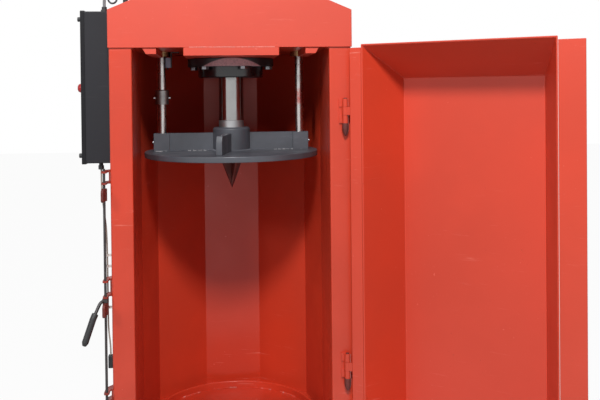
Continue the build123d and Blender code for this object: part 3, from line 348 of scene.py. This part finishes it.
def add_band(material, colour, low, high, side, fac, soft=0.012):
    """Thin film of another colour between two heights, on the side of X where side points."""
    w, shader, was, coordinates, (x, _, z) = reopen(material)
    up = w.spread(z, low - soft, low + soft)
    down = w.spread(z, high - soft, high + soft, 1.0, 0.0)
    this_side = w.math("GREATER_THAN", w.math("MULTIPLY", x, side), 0.0)
    where = w.math("MULTIPLY", w.math("MULTIPLY", up, down), this_side)
    uneven = w.spread(w.noise(coordinates, 90.0, 3, 0.6), 0.25, 0.65)
    share = w.math("MULTIPLY", w.math("MULTIPLY", where, uneven), fac)
    w.link(w.mix(share, was, colour), shader.inputs["Base Color"])


def painted_light_on_flange(material, colour):
    """Painted light: a reddish-grey lit patch on the front of the flange, under an arched top edge
    that is highest in the middle.
    """
    # The patch's top edge falls from the middle to the sides, like the edge of a shadow on a round
    # face.
    middle, top, fall, front_half = 0.003, 1.3695, 2.9, -0.05
    w, shader, was, coordinates, (x, y, z) = reopen(material)
    across = w.math("POWER", w.math("ABSOLUTE", w.math("ADD", x, -middle)), 2.0)
    edge = w.math("SUBTRACT", top, w.math("MULTIPLY", across, fall))
    under = w.spread(w.math("SUBTRACT", z, edge), -0.003, 0.0015, 1.0, 0.0)
    front = w.math("LESS_THAN", y, front_half)
    uneven = w.spread(w.noise(coordinates, 160.0, 4, 0.65), 0.2, 0.6, 0.55, 1.0)
    share = w.math("MULTIPLY", w.math("MULTIPLY", under, front), uneven)
    w.link(w.mix(share, was, colour), shader.inputs["Base Color"])


def moulded(name, colour, rough, grain=0.12, scale=700.0):
    """Moulded plastic or rubber with a fine grain."""
    material, w, shader, v = start_material(name)
    skin = place_group(w, sprayed_skin(), v, peel_scale=scale, tone_scale=20.0, rub_scale=30.0)
    tone = skin.outputs["Tone"]
    rubbed = tuple(c + 0.08 for c in colour)
    base = w.mix(tone, shade(colour, 0.8), colour)
    base = w.mix(w.math("MULTIPLY", skin.outputs["Rubs"], 0.3), base, rubbed)
    w.link(base, shader.inputs["Base Color"])
    w.link(w.spread(tone, 0.0, 1.0, rough + 0.08, rough), shader.inputs["Roughness"])
    add_bump(w, shader, skin.outputs["Peel"], grain, mould_depth)
    return material


def seen_directly(w):
    """One for camera, mirror and see-through rays, and nothing for the rest."""
    path = w.add("ShaderNodeLightPath")
    seen = w.math("ADD", path.outputs["Is Camera Ray"], path.outputs["Is Glossy Ray"], True)
    return w.math("ADD", seen, path.outputs["Is Transmission Ray"], True)


def dress(node, material):
    """Gives a frame node its finish."""
    o = frame["nodes"][node]
    o.data.materials.clear()
    o.data.materials.append(material)
    return o


def link_mesh(name, mesh, material, body):
    """New object of one mesh and one finish that rides on a body."""
    o = bpy.data.objects.new(name, mesh)
    bpy.context.scene.collection.objects.link(o)
    o.data.materials.clear()
    o.data.materials.append(material)
    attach(o, body)
    return o


def eased(node, material, width=None, segments=2, angle=28.0):
    """Copy of a frame node with rounded edges, which stands for it."""
    source = frame["nodes"][node]
    if width is None:
        width = bpy.context.scene.crusher_sizes.edge_round
    mesh = source.data.copy()
    mesh.name = node + "_eased"
    bm = bmesh.new()
    bm.from_mesh(mesh)
    bmesh.ops.remove_doubles(bm, verts=bm.verts, dist=1e-6)
    bmesh.ops.dissolve_limit(bm, angle_limit=math.radians(0.6), verts=bm.verts, edges=bm.edges)
    bm.to_mesh(mesh)
    bm.free()
    for p in mesh.polygons:
        p.use_smooth = True
    o = link_mesh(node + "_eased", mesh, material, source["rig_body"])
    bevel = o.modifiers.new("round", "BEVEL")
    bevel.width = width
    bevel.segments = segments
    bevel.limit_method = "ANGLE"
    bevel.angle_limit = math.radians(angle)
    bevel.harden_normals = True
    bevel.use_clamp_overlap = True
    flat = o.modifiers.new("flats", "WEIGHTED_NORMAL")
    flat.keep_sharp = True
    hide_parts(node)


def baked(o, name, material, body):
    """Plain mesh of what an object's modifiers make; the object itself goes."""
    bpy.context.view_layer.update()
    graph = bpy.context.evaluated_depsgraph_get()
    mesh = bpy.data.meshes.new_from_object(o.evaluated_get(graph), depsgraph=graph)
    bpy.data.objects.remove(o)
    mesh.name = name
    link_mesh(name, mesh, material, body)


# Welds: a bead of overlapping ripples along a line


def weld_tree():
    """Geometry nodes: ripples set closely along the seams that come in as edges."""
    name = "weld_bead"
    if name in bpy.data.node_groups:
        return bpy.data.node_groups[name]
    tree = bpy.data.node_groups.new(name, "GeometryNodeTree")
    face = tree.interface
    face.new_socket("Seams", in_out="INPUT", socket_type="NodeSocketGeometry")
    for label in ("Width", "Pitch", "Unevenness"):
        face.new_socket(label, in_out="INPUT", socket_type="NodeSocketFloat")
    face.new_socket("Seed", in_out="INPUT", socket_type="NodeSocketInt")
    face.new_socket("Finish", in_out="INPUT", socket_type="NodeSocketMaterial")
    face.new_socket("Bead", in_out="OUTPUT", socket_type="NodeSocketGeometry")
    w = Tree(tree)
    gi, go = w.add("NodeGroupInput"), w.add("NodeGroupOutput")
    curve = w.add("GeometryNodeMeshToCurve")
    w.link(gi.outputs["Seams"], curve.inputs[0])
    points = w.add("GeometryNodeCurveToPoints", mode="LENGTH")
    w.link(curve.outputs[0], points.inputs["Curve"])
    w.link(gi.outputs["Pitch"], points.inputs["Length"])
    ripple = w.add("GeometryNodeMeshIcoSphere")
    ripple.inputs["Subdivisions"].default_value = 2
    w.link(w.math("MULTIPLY", gi.outputs["Width"], 0.5), ripple.inputs["Radius"])
    put = w.add("GeometryNodeInstanceOnPoints")
    w.link(points.outputs["Points"], put.inputs["Points"])
    w.link(ripple.outputs["Mesh"], put.inputs["Instance"])
    w.link(points.outputs["Rotation"], put.inputs["Rotation"])
    vary = w.add("FunctionNodeRandomValue", data_type="FLOAT")
    w.link(w.math("SUBTRACT", 1.0, gi.outputs["Unevenness"]), vary.inputs[2])
    w.link(w.math("ADD", 1.0, gi.outputs["Unevenness"]), vary.inputs[3])
    w.link(gi.outputs["Seed"], vary.inputs["Seed"])
    flat = w.add("ShaderNodeCombineXYZ")
    w.link(vary.outputs[1], flat.inputs[0])
    w.link(vary.outputs[1], flat.inputs[1])
    flat.inputs[2].default_value = 0.45
    w.link(flat.outputs[0], put.inputs["Scale"])
    solid = w.add("GeometryNodeRealizeInstances")
    w.link(put.outputs[0], solid.inputs[0])
    smooth = w.add("GeometryNodeSetShadeSmooth")
    w.link(solid.outputs[0], smooth.inputs[0])
    finish = w.add("GeometryNodeSetMaterial")
    w.link(smooth.outputs[0], finish.inputs[0])
    w.link(gi.outputs["Finish"], finish.inputs["Material"])
    w.link(finish.outputs[0], go.inputs[0])
    return tree


def set_inputs(modifier, **values):
    """Sets a geometry nodes modifier's inputs by the identifiers of their sockets."""
    for item in modifier.node_group.interface.items_tree:
        if item.item_type == "SOCKET" and item.in_out == "INPUT" and item.name in values:
            modifier[item.identifier] = values[item.name]


def weld(name, seams, material, body, width, seed, unevenness=0.22):
    """One mesh of weld beads along lists of points."""
    mesh = bpy.data.meshes.new(name + "_seams")
    points, edges = [], []
    for seam in seams:
        start = len(points)
        points += [tuple(p) for p in seam]
        edges += [(start + i, start + i + 1) for i in range(len(seam) - 1)]
    mesh.from_pydata(points, edges, [])
    o = bpy.data.objects.new(name + "_seams", mesh)
    bpy.context.scene.collection.objects.link(o)
    modifier = o.modifiers.new("bead", "NODES")
    modifier.node_group = weld_tree()
    set_inputs(modifier, Width=width, Pitch=bpy.context.scene.crusher_sizes.weld_pitch,
               Unevenness=unevenness, Seed=seed, Finish=material)
    baked(o, name, material, body)


def arc(radius, start, end, z, count):
    """Points of an arc about the vertical axis, its ends in degrees."""
    out = []
    for i in range(count + 1):
        a = math.radians(start + (end - start) * i / count)
        out.append((radius * math.cos(a), radius * math.sin(a), z))
    return out


# Finishes


def finishes():
    """All materials, made once."""
    paint = bpy.context.scene.crusher_paint
    red = tuple(paint.cabinet_red)
    old = tuple(paint.old_red)
    blue = tuple(paint.ram_blue)
    grey = tuple(paint.box_grey)
    pale = (0.86, 0.30, 0.24)
    along, around, even = (1.0, 1.0, 0.1), (0.02, 0.02, 1.0), (1.0, 1.0, 1.0)
    return {
        "header": painted("header_paint", tuple(c + 0.012 for c in red), 0.46, 0.05, 0.9, 0.3, pale),
        "post": painted("post_paint", red, 0.35, 0.06, 0.86, 0.4, pale, tone_scale=4.0),
        "wall": painted("wall_paint", shade(red, 0.97), 0.34, 0.05, 0.86, 0.5, pale, tone_scale=2.5,
                        rub_scale=6.0, speck=0.2),
        "door": painted("door_paint", red, 0.4, 0.05, 0.88, 0.45, pale, tone_scale=2.0,
                        rub_scale=5.0),
        "stile": painted("stile_paint", shade(red, 1.06), 0.33, 0.05, 0.9, 0.7, pale,
                         rub_scale=14.0),
        "skin": painted("skin_paint", red, 0.36, 0.05, 0.88, 0.3, pale),
        "floor": painted("floor_paint", shade(red, 0.9), 0.42, 0.08, 0.75, 0.9, (0.55, 0.25, 0.2),
                         rub_scale=12.0, speck=0.8),
        "weld": painted("weld_paint", shade(red, 0.95), 0.4, 0.1, 0.8, 0.3, pale),
        "pale_weld": painted("pale_weld", (0.75, 0.24, 0.2), 0.35, 0.1, 0.8, 0.5, pale,
                             tone_scale=60.0),
        "old": painted("old_paint", old, 0.5, 0.12, 0.6, 0.8, (0.3, 0.12, 0.1), coat=0.0,
                       rub_scale=30.0, tone_scale=25.0),
        "bracket": painted("bracket_paint", shade(red, 0.5), 0.45, 0.1, 0.6, 0.5,
                           (0.4, 0.15, 0.12), tone_scale=18.0),
        "ram": painted("ram_paint", blue, 0.42, 0.16, 0.72, 0.55, (0.2, 0.22, 0.25), coat=0.1,
                       tone_scale=9.0, rub_scale=16.0, peel_scale=180.0),
        "ram_weld": painted("ram_weld_paint", shade(blue, 1.2), 0.4, 0.2, 0.7, 0.9,
                            (0.6, 0.6, 0.62), rub_scale=40.0, chip=1.0),
        "scuff": painted("scuffed_weld", (0.55, 0.55, 0.56), 0.5, 0.2, 0.5, 0.5, (0.8, 0.8, 0.8),
                         tone_scale=60.0),
        "black": painted("cylinder_paint", (0.010, 0.011, 0.013), 0.24, 0.05, 0.8, 0.3,
                         (0.05, 0.05, 0.055), coat=0.5),
        "flange": painted("flange_paint", (0.022, 0.023, 0.027), 0.4, 0.12, 0.7, 0.5,
                          (0.08, 0.08, 0.085)),
        "box": painted("box_paint", grey, 0.5, 0.18, 0.88, 0.25, (0.05, 0.05, 0.055), coat=0.0,
                       peel_scale=420.0, shine=0.2),
        "cover": painted("cover_paint", (0.009, 0.009, 0.011), 0.42, 0.15, 0.85, 0.25,
                         (0.03, 0.03, 0.033), coat=0.0, peel_scale=420.0, shine=0.2),
        "chrome": bare_metal("rod_chrome", (0.36, 0.355, 0.35), 0.12, 0.0, (1.0, 1.0, 0.02),
                             500.0, 0.15),
        "ground": bare_metal("ground_rod", (0.55, 0.53, 0.52), 0.24, 0.0, around, 1200.0, 0.3),
        "matte": bare_metal("turned_ring", (0.42, 0.42, 0.43), 0.42, 0.05, around, 900.0, 0.3),
        "steel": bare_metal("dull_steel", (0.30, 0.29, 0.285), 0.42, 0.2, along, 400.0, 0.6),
        "dark_steel": bare_metal("dark_steel", (0.07, 0.065, 0.065), 0.45, 0.2, along, 400.0, 0.6,
                                 0.7),
        "zinc": bare_metal("zinc_plate", (0.55, 0.56, 0.58), 0.3, 0.1, even, 300.0, 0.5),
        "bolt": bare_metal("bolt_steel", (0.30, 0.30, 0.32), 0.35, 0.1, even, 300.0, 0.6),
        "bronze": bare_metal("bush_bronze", (0.50, 0.33, 0.16), 0.35, 0.1, around, 700.0, 0.5),
        "black_plastic": moulded("black_plastic", (0.014, 0.014, 0.016), 0.42),
        "grip": moulded("grip_rubber", (0.012, 0.012, 0.013), 0.36, 0.08, 300.0),
        "stop": moulded("stop_plastic", tuple(paint.stop_red), 0.25, 0.03, 200.0),
        "switch": moulded("switch_plastic", (0.36, 0.42, 0.55), 0.4, 0.05, 500.0),
        "conduit": moulded("conduit_plastic", (0.20, 0.20, 0.21), 0.4, 0.1, 500.0),
        "cable": moulded("cable_rubber", (0.010, 0.010, 0.012), 0.4, 0.08, 600.0),
        "lead": moulded("lead_plastic", (0.34, 0.30, 0.25), 0.45, 0.08, 600.0),
        "nylon": moulded("clip_nylon", (0.72, 0.70, 0.66), 0.4, 0.05, 500.0),
        "device": moulded("device_plastic", (0.10, 0.105, 0.11), 0.5, 0.08, 500.0),
    }


look = {}


# Operators, one for each group of pieces


class CRUSHER_OT_finishes(bpy.types.Operator):
    """Make the paints, metals and plastics"""

    bl_idname = "crusher.finishes"
    bl_label = "Finishes"

    def execute(self, context):
        look.update(finishes())
        add_band(look["ground"], (0.52, 0.055, 0.035), low=1.213, high=1.262, side=1.0, fac=0.75)
        # Painted light on the flange: a reddish-grey lit patch, highest in the middle.
        painted_light_on_flange(look["flange"], (0.62, 0.37, 0.40))
        return {"FINISHED"}


class CRUSHER_OT_cabinet(bpy.types.Operator):
    """Paint the cabinet and ease the edges of its plates"""

    bl_idname = "crusher.cabinet"
    bl_label = "Cabinet"

    def execute(self, context):
        for node in ("left_post", "right_post", "base_frame"):
            eased(node, look["post"], 0.0015)
        eased("floor_plate", look["floor"], 0.001)
        eased("drum_ring", look["wall"])
        eased("chamber_wall", look["wall"], 0.0008, angle=40)
        dress("side_panels", look["skin"])
        dress("rear_panel", look["skin"])
        return {"FINISHED"}


class CRUSHER_OT_header(bpy.types.Operator):
    """Paint the header"""

    bl_idname = "crusher.header"
    bl_label = "Header"

    def execute(self, context):
        for node in ("header_front_plate", "header_rear_plate", "cylinder_plate", "stiffeners"):
            eased(node, look["header"], 0.0014)
        eased("header_cover", look["skin"])
        dress("header_floor", look["wall"])
        return {"FINISHED"}


class CRUSHER_OT_cylinder(bpy.types.Operator):
    """Finish the cylinder, its bolts and the guide bushes"""

    bl_idname = "crusher.cylinder"
    bl_label = "Cylinder"

    def execute(self, context):
        eased("cylinder_flange", look["flange"], 0.0015)
        dress("cylinder_gland", look["black"])
        dress("cylinder_barrel", look["black"])
        eased("flange_bolts", look["bolt"], 0.0006)
        eased("flange_nuts", look["bolt"], 0.0006)
        dress("guide_bushes", look["bronze"])
        eased("limit_switch", look["switch"])
        dress("switch_plunger", look["black_plastic"])
        eased("switch_bracket", look["dark_steel"], 0.0006)
        return {"FINISHED"}


class CRUSHER_OT_ram(bpy.types.Operator):
    """Finish the platen, its ribs, the rods and the spike"""

    bl_idname = "crusher.ram"
    bl_label = "Ram"

    def execute(self, context):
        eased("platen", look["ram"])
        for node in ("ram_hub", "ram_arms", "ram_ribs"):
            eased(node, look["ram"], 0.0016)
        eased("spike", look["old"], 0.0008)
        rod = dress("piston_rod", look["chrome"])
        rod.data.materials.append(look["matte"])
        ring_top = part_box("piston_rod")[0].z + 0.0245
        for face in rod.data.polygons:
            if face.center.z < ring_top:
                face.material_index = 1
        dress("piston", look["matte"])
        dress("guide_rods", look["ground"])
        eased("stop_collar", look["steel"])
        dress("ram_screws", look["zinc"])
        return {"FINISHED"}


class CRUSHER_OT_door(bpy.types.Operator):
    """Paint the door"""

    bl_idname = "crusher.door"
    bl_label = "Door"

    def execute(self, context):
        eased("door_pan", look["door"], 0.002)
        eased("door_hinge_stile", look["stile"], 0.0014)
        eased("door_latch_stile", look["stile"], 0.0014)
        eased("door_knuckles", look["post"], 0.001)
        eased("hinge_leaves", look["post"], 0.001)
        eased("hinge_pins", look["old"], 0.001)
        return {"FINISHED"}


class CRUSHER_OT_lock(bpy.types.Operator):
    """Finish the lock shaft, its brackets, cams and handle"""

    bl_idname = "crusher.lock"
    bl_label = "Lock"

    def execute(self, context):
        eased("lock_brackets", look["bracket"], 0.001)
        dress("lock_shaft", look["dark_steel"])
        eased("lock_cams", look["old"], 0.001)
        dress("lock_handle", look["dark_steel"])
        eased("handle_grip", look["grip"], 0.003, 3)
        return {"FINISHED"}


class CRUSHER_OT_control_box(bpy.types.Operator):
    """Finish the control box, its cover, locks and stop button"""

    bl_idname = "crusher.control_box"
    bl_label = "Control box"

    def execute(self, context):
        eased("box_body", look["box"])
        eased("box_cover", look["cover"])
        dress("box_hinges", look["zinc"])
        for node in ("upper_cover_lock", "lower_cover_lock"):
            eased(node, look["black_plastic"], 0.0006)
        dress("stop_button_base", look["black_plastic"])
        dress("stop_button", look["stop"])
        dress("mounting_plate", look["zinc"])
        dress("din_rail", look["zinc"])
        eased("contactors", look["device"], 0.001)
        eased("cable_glands", look["black_plastic"], 0.0008)
        eased("door_sensor", look["black_plastic"], 0.001)
        dress("lead_clips", look["nylon"])
        return {"FINISHED"}


class CRUSHER_OT_welds(bpy.types.Operator):
    """Lay the weld beads of the cabinet and the ram"""

    bl_idname = "crusher.welds"
    bl_label = "Welds"

    def execute(self, context):
        low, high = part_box("drum_ring")
        foot = low.z + 0.0005
        inner = (high.x - low.x) / 2 - 0.008
        runs = []
        for i in range(12):
            start = 30 * i + (4 if i % 2 else -2)
            runs.append(arc(inner - 0.001, start, start + 11 + (i * 5) % 7, foot, 14))
        weld("ring_welds", runs, look["weld"], "cabinet", 0.007, 3)
        spots = [arc(inner - 0.002, a, a + span, foot + 0.001, 8)
                 for a, span in ((88, 5), (66, 1.2), (59, 1.5), (46, 1.2), (118, 2), (132, 1.2))]
        weld("ring_spots", spots, look["pale_weld"], "cabinet", 0.006, 4, 0.4)

        # Posts to the header's floor and to the base
        seams = []
        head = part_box("header_floor")[0].z - 0.001
        inside, outside, foot = 0.309, 0.3765, 0.1105
        for side in (-1, 1):
            seams.append([(side * inside, -0.289, head), (side * inside, -0.232, head)])
            seams.append([(side * outside, -0.2905, foot), (side * (inside + 0.001), -0.2905, foot)])
        weld("frame_welds", seams, look["weld"], "cabinet", 0.006, 5)

        # Cylinder's plate to the header's front, mostly sunk so that the shut door clears it
        low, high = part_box("cylinder_plate")
        depth, height = low.y + 0.0036, high.z + 0.001
        seam = [(low.x + 0.02, depth, height), (high.x - 0.015, depth, height)]
        weld("plate_weld", [seam], look["pale_weld"], "cabinet", 0.0085, 6, 0.08)

        # Hub, arms and clamp blocks to the platen
        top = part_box("platen")[1].z
        low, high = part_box("ram_hub")
        hub = (high.x - low.x) / 2
        height = top + 0.001
        runs = [arc(hub + 0.001, 0, 360, height, 90)]
        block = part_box("ram_arms")[1].x - 0.054
        arm_face, block_face = 0.0108, 0.0258
        for side in (-1, 1):
            for face in (-1, 1):
                for start, end, depth in ((hub + 0.002, hub + 0.05, arm_face),
                                          (block - 0.05, block - 0.002, arm_face),
                                          (block + 0.004, block + 0.05, block_face)):
                    runs.append([(side * start, face * depth, height),
                                 (side * end, face * depth, height)])
        weld("ram_welds", runs, look["ram_weld"], "ram", 0.007, 11)

        # Bright broken scuffs in front of the arms
        bare = []
        depth, height = -0.0145, top + 0.0006
        for start, end, count in ((-0.150, -0.078, 4), (0.150, 0.222, 5)):
            step = (end - start) / count
            for i in range(count):
                left = start + i * step
                right = left + step * (0.35 + 0.1 * (i % 3))
                bare.append([(left, depth, height), (right, depth, height)])
        bare.append([(-0.258, -0.0285, height), (-0.238, -0.0285, height)])
        weld("scuffed_welds", bare, look["scuff"], "ram", 0.0055, 13, 0.4)
        return {"FINISHED"}


def cord_curve(name, points, diameter, material):
    """Round cord along one smooth spline, its points in millimetres."""
    curve = bpy.data.curves.new(name, "CURVE")
    curve.dimensions = "3D"
    curve.bevel_depth = diameter / 2
    curve.bevel_resolution = 4
    curve.use_fill_caps = True
    curve.resolution_u = 10
    spline = curve.splines.new("NURBS")
    spline.points.add(len(points) - 1)
    for point, place in zip(spline.points, points):
        point.co = (*[c / 1000 for c in place], 1)
    spline.order_u = 3
    spline.use_endpoint_u = True
    curve.materials.append(material)
    o = bpy.data.objects.new(name, curve)
    bpy.context.scene.collection.objects.link(o)
    return o


class CRUSHER_OT_cords(bpy.types.Operator):
    """Lay the conduit, the looped cable and the sensor lead"""

    bl_idname = "crusher.cords"
    bl_label = "Cords"

    def execute(self, context):
        conduit = [(-414, -120, 1539), (-414, -120, 1605), (-390, -120, 1685), (-320, -120, 1741),
                   (-234, -120, 1751), (-162, -120, 1723), (-120, -120, 1682), (-120, -120, 1632)]
        cable = [(-345, -120, 1572), (-345, -120, 1596), (-354, -144, 1618), (-363, -163, 1600),
                 (-366, -165, 1557), (-375, -165, 1546), (-387, -165, 1546), (-396, -165, 1557),
                 (-396, -164, 1592), (-392, -165, 1650), (-365, -165, 1712), (-305, -165, 1757),
                 (-225, -165, 1762), (-156, -165, 1726), (-120, -165, 1684), (-120, -165, 1632)]
        lead = [(-423, -170, 1009), (-423, -170, 965), (-418, -186, 913), (-406, -218, 863),
                (-397, -238, 803), (-397, -238, 545),
                (-394, -250, 505), (-385, -275, 470), (-385, -275, 440)]
        for name, node, route, dia, length, key, stiff in (
            ("conduit_run", "conduit", conduit, 0.010, 0.4997, "conduit", "stiff"),
            ("loop_run", "looped_cable", cable, 0.006, 0.6478, "cable", "medium"),
            ("lead_run", "sensor_lead", lead, 0.005, 0.5916, "lead", "medium"),
        ):
            o = cord_curve(name, route, dia, look[key])
            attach(o, "cabinet")
            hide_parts(node)
        return {"FINISHED"}


class CRUSHER_OT_stage(bpy.types.Operator):
    """Set the floor, the backdrop, the light and the camera"""

    bl_idname = "crusher.stage"
    bl_label = "Stage"

    def execute(self, context):
        scene = context.scene
        scene.view_settings.view_transform = "Standard"
        mesh = bpy.data.meshes.new("studio_floor")
        corners = ((-1, -1), (1, -1), (1, 1), (-1, 1))
        mesh.from_pydata([(x * floor_half, y * floor_half, -floor_drop) for x, y in corners], [],
                         [(0, 1, 2, 3)])
        floor = bpy.data.objects.new("studio_floor", mesh)
        scene.collection.objects.link(floor)
        material = bpy.data.materials.new("studio_floor")
        material.use_nodes = True
        w = Tree(material.node_tree)
        shader = material.node_tree.nodes["Principled BSDF"]
        out = material.node_tree.nodes["Material Output"]
        shader.inputs["Base Color"].default_value = (floor_grey, floor_grey, floor_grey, 1)
        shader.inputs["Roughness"].default_value = 0.9
        glow = w.add("ShaderNodeEmission")
        blend = w.add("ShaderNodeMixShader")
        w.link(w.math("MULTIPLY", seen_directly(w), floor_glow), blend.inputs[0])
        w.link(shader.outputs[0], blend.inputs[1])
        w.link(glow.outputs[0], blend.inputs[2])
        w.link(blend.outputs[0], out.inputs["Surface"])
        mesh.materials.append(material)

        world = bpy.data.worlds.new("studio")
        scene.world = world
        world.use_nodes = True
        w = Tree(world.node_tree)
        backdrop = world.node_tree.nodes["Background"]
        backdrop.inputs["Color"].default_value = (1, 1, 1, 1)
        strength = w.spread(seen_directly(w), 0.0, 1.0, ambient, 1.0, False)
        w.link(strength, backdrop.inputs["Strength"])

        sizes = scene.crusher_sizes
        for name, place, target, power in (
            ("key", (-0.05, -3.15, 3.72), (0.1, 0, 0.9), sizes.key_strength),
            ("side", (-2.3, -3.2, 2.9), (-0.3, -0.3, 0.8), sizes.side_strength),
        ):
            lamp = bpy.data.lights.new(name, "AREA")
            lamp.shape = "RECTANGLE"
            lamp.size = lamp_side
            lamp.size_y = lamp_side
            lamp.energy = power
            o = bpy.data.objects.new(name, lamp)
            scene.collection.objects.link(o)
            o.location = place
            o.rotation_mode = "QUATERNION"
            o.rotation_quaternion = (Vector(target) - Vector(place)).to_track_quat("-Z", "Y")

        level = math.cos(camera_pitch)
        forward = Vector((math.sin(camera_yaw) * level, math.cos(camera_yaw) * level,
                          -math.sin(camera_pitch)))
        right = Vector((math.cos(camera_yaw), -math.sin(camera_yaw), 0))
        up = right.cross(forward)
        c, s = math.cos(camera_roll), math.sin(camera_roll)
        right, up = right * c + up * s, up * c - right * s
        camera = bpy.data.cameras.new("camera")
        camera.sensor_width = 36
        camera.lens = camera_lens
        camera.shift_y = camera_shift_y
        camera.clip_start = 0.05
        o = bpy.data.objects.new("camera", camera)
        scene.collection.objects.link(o)
        turn = Matrix((right, up, -forward)).transposed().to_4x4()
        o.matrix_world = Matrix.Translation(camera_place) @ turn
        scene.camera = o
        return {"FINISHED"}


class CRUSHER_PT_looks(bpy.types.Panel):
    """Colours, sizes and the steps that make the looks"""

    bl_idname = "CRUSHER_PT_looks"
    bl_label = "Drum crusher"
    bl_space_type = "VIEW_3D"
    bl_region_type = "UI"
    bl_category = "Crusher"

    def draw(self, context):
        for name in CrusherPaint.__annotations__:
            self.layout.prop(context.scene.crusher_paint, name)
        for name in CrusherSizes.__annotations__:
            self.layout.prop(context.scene.crusher_sizes, name)
        for step in steps:
            self.layout.operator(step.bl_idname)


steps = (
    CRUSHER_OT_finishes,
    CRUSHER_OT_stage,
    CRUSHER_OT_cabinet,
    CRUSHER_OT_header,
    CRUSHER_OT_cylinder,
    CRUSHER_OT_ram,
    CRUSHER_OT_door,
    CRUSHER_OT_lock,
    CRUSHER_OT_control_box,
    CRUSHER_OT_welds,
    CRUSHER_OT_cords,
)
classes = (CrusherPaint, CrusherSizes, *steps, CRUSHER_PT_looks)


def register():
    for item in classes:
        bpy.utils.register_class(item)
    bpy.types.Scene.crusher_paint = bpy.props.PointerProperty(type=CrusherPaint)
    bpy.types.Scene.crusher_sizes = bpy.props.PointerProperty(type=CrusherSizes)


def unregister():
    del bpy.types.Scene.crusher_sizes
    del bpy.types.Scene.crusher_paint
    for item in reversed(classes):
        bpy.utils.unregister_class(item)


def main():
    register()
    for step in steps:
        group, verb = step.bl_idname.split(".")
        getattr(getattr(bpy.ops, group), verb)()


if __name__ == "__main__":
    main()
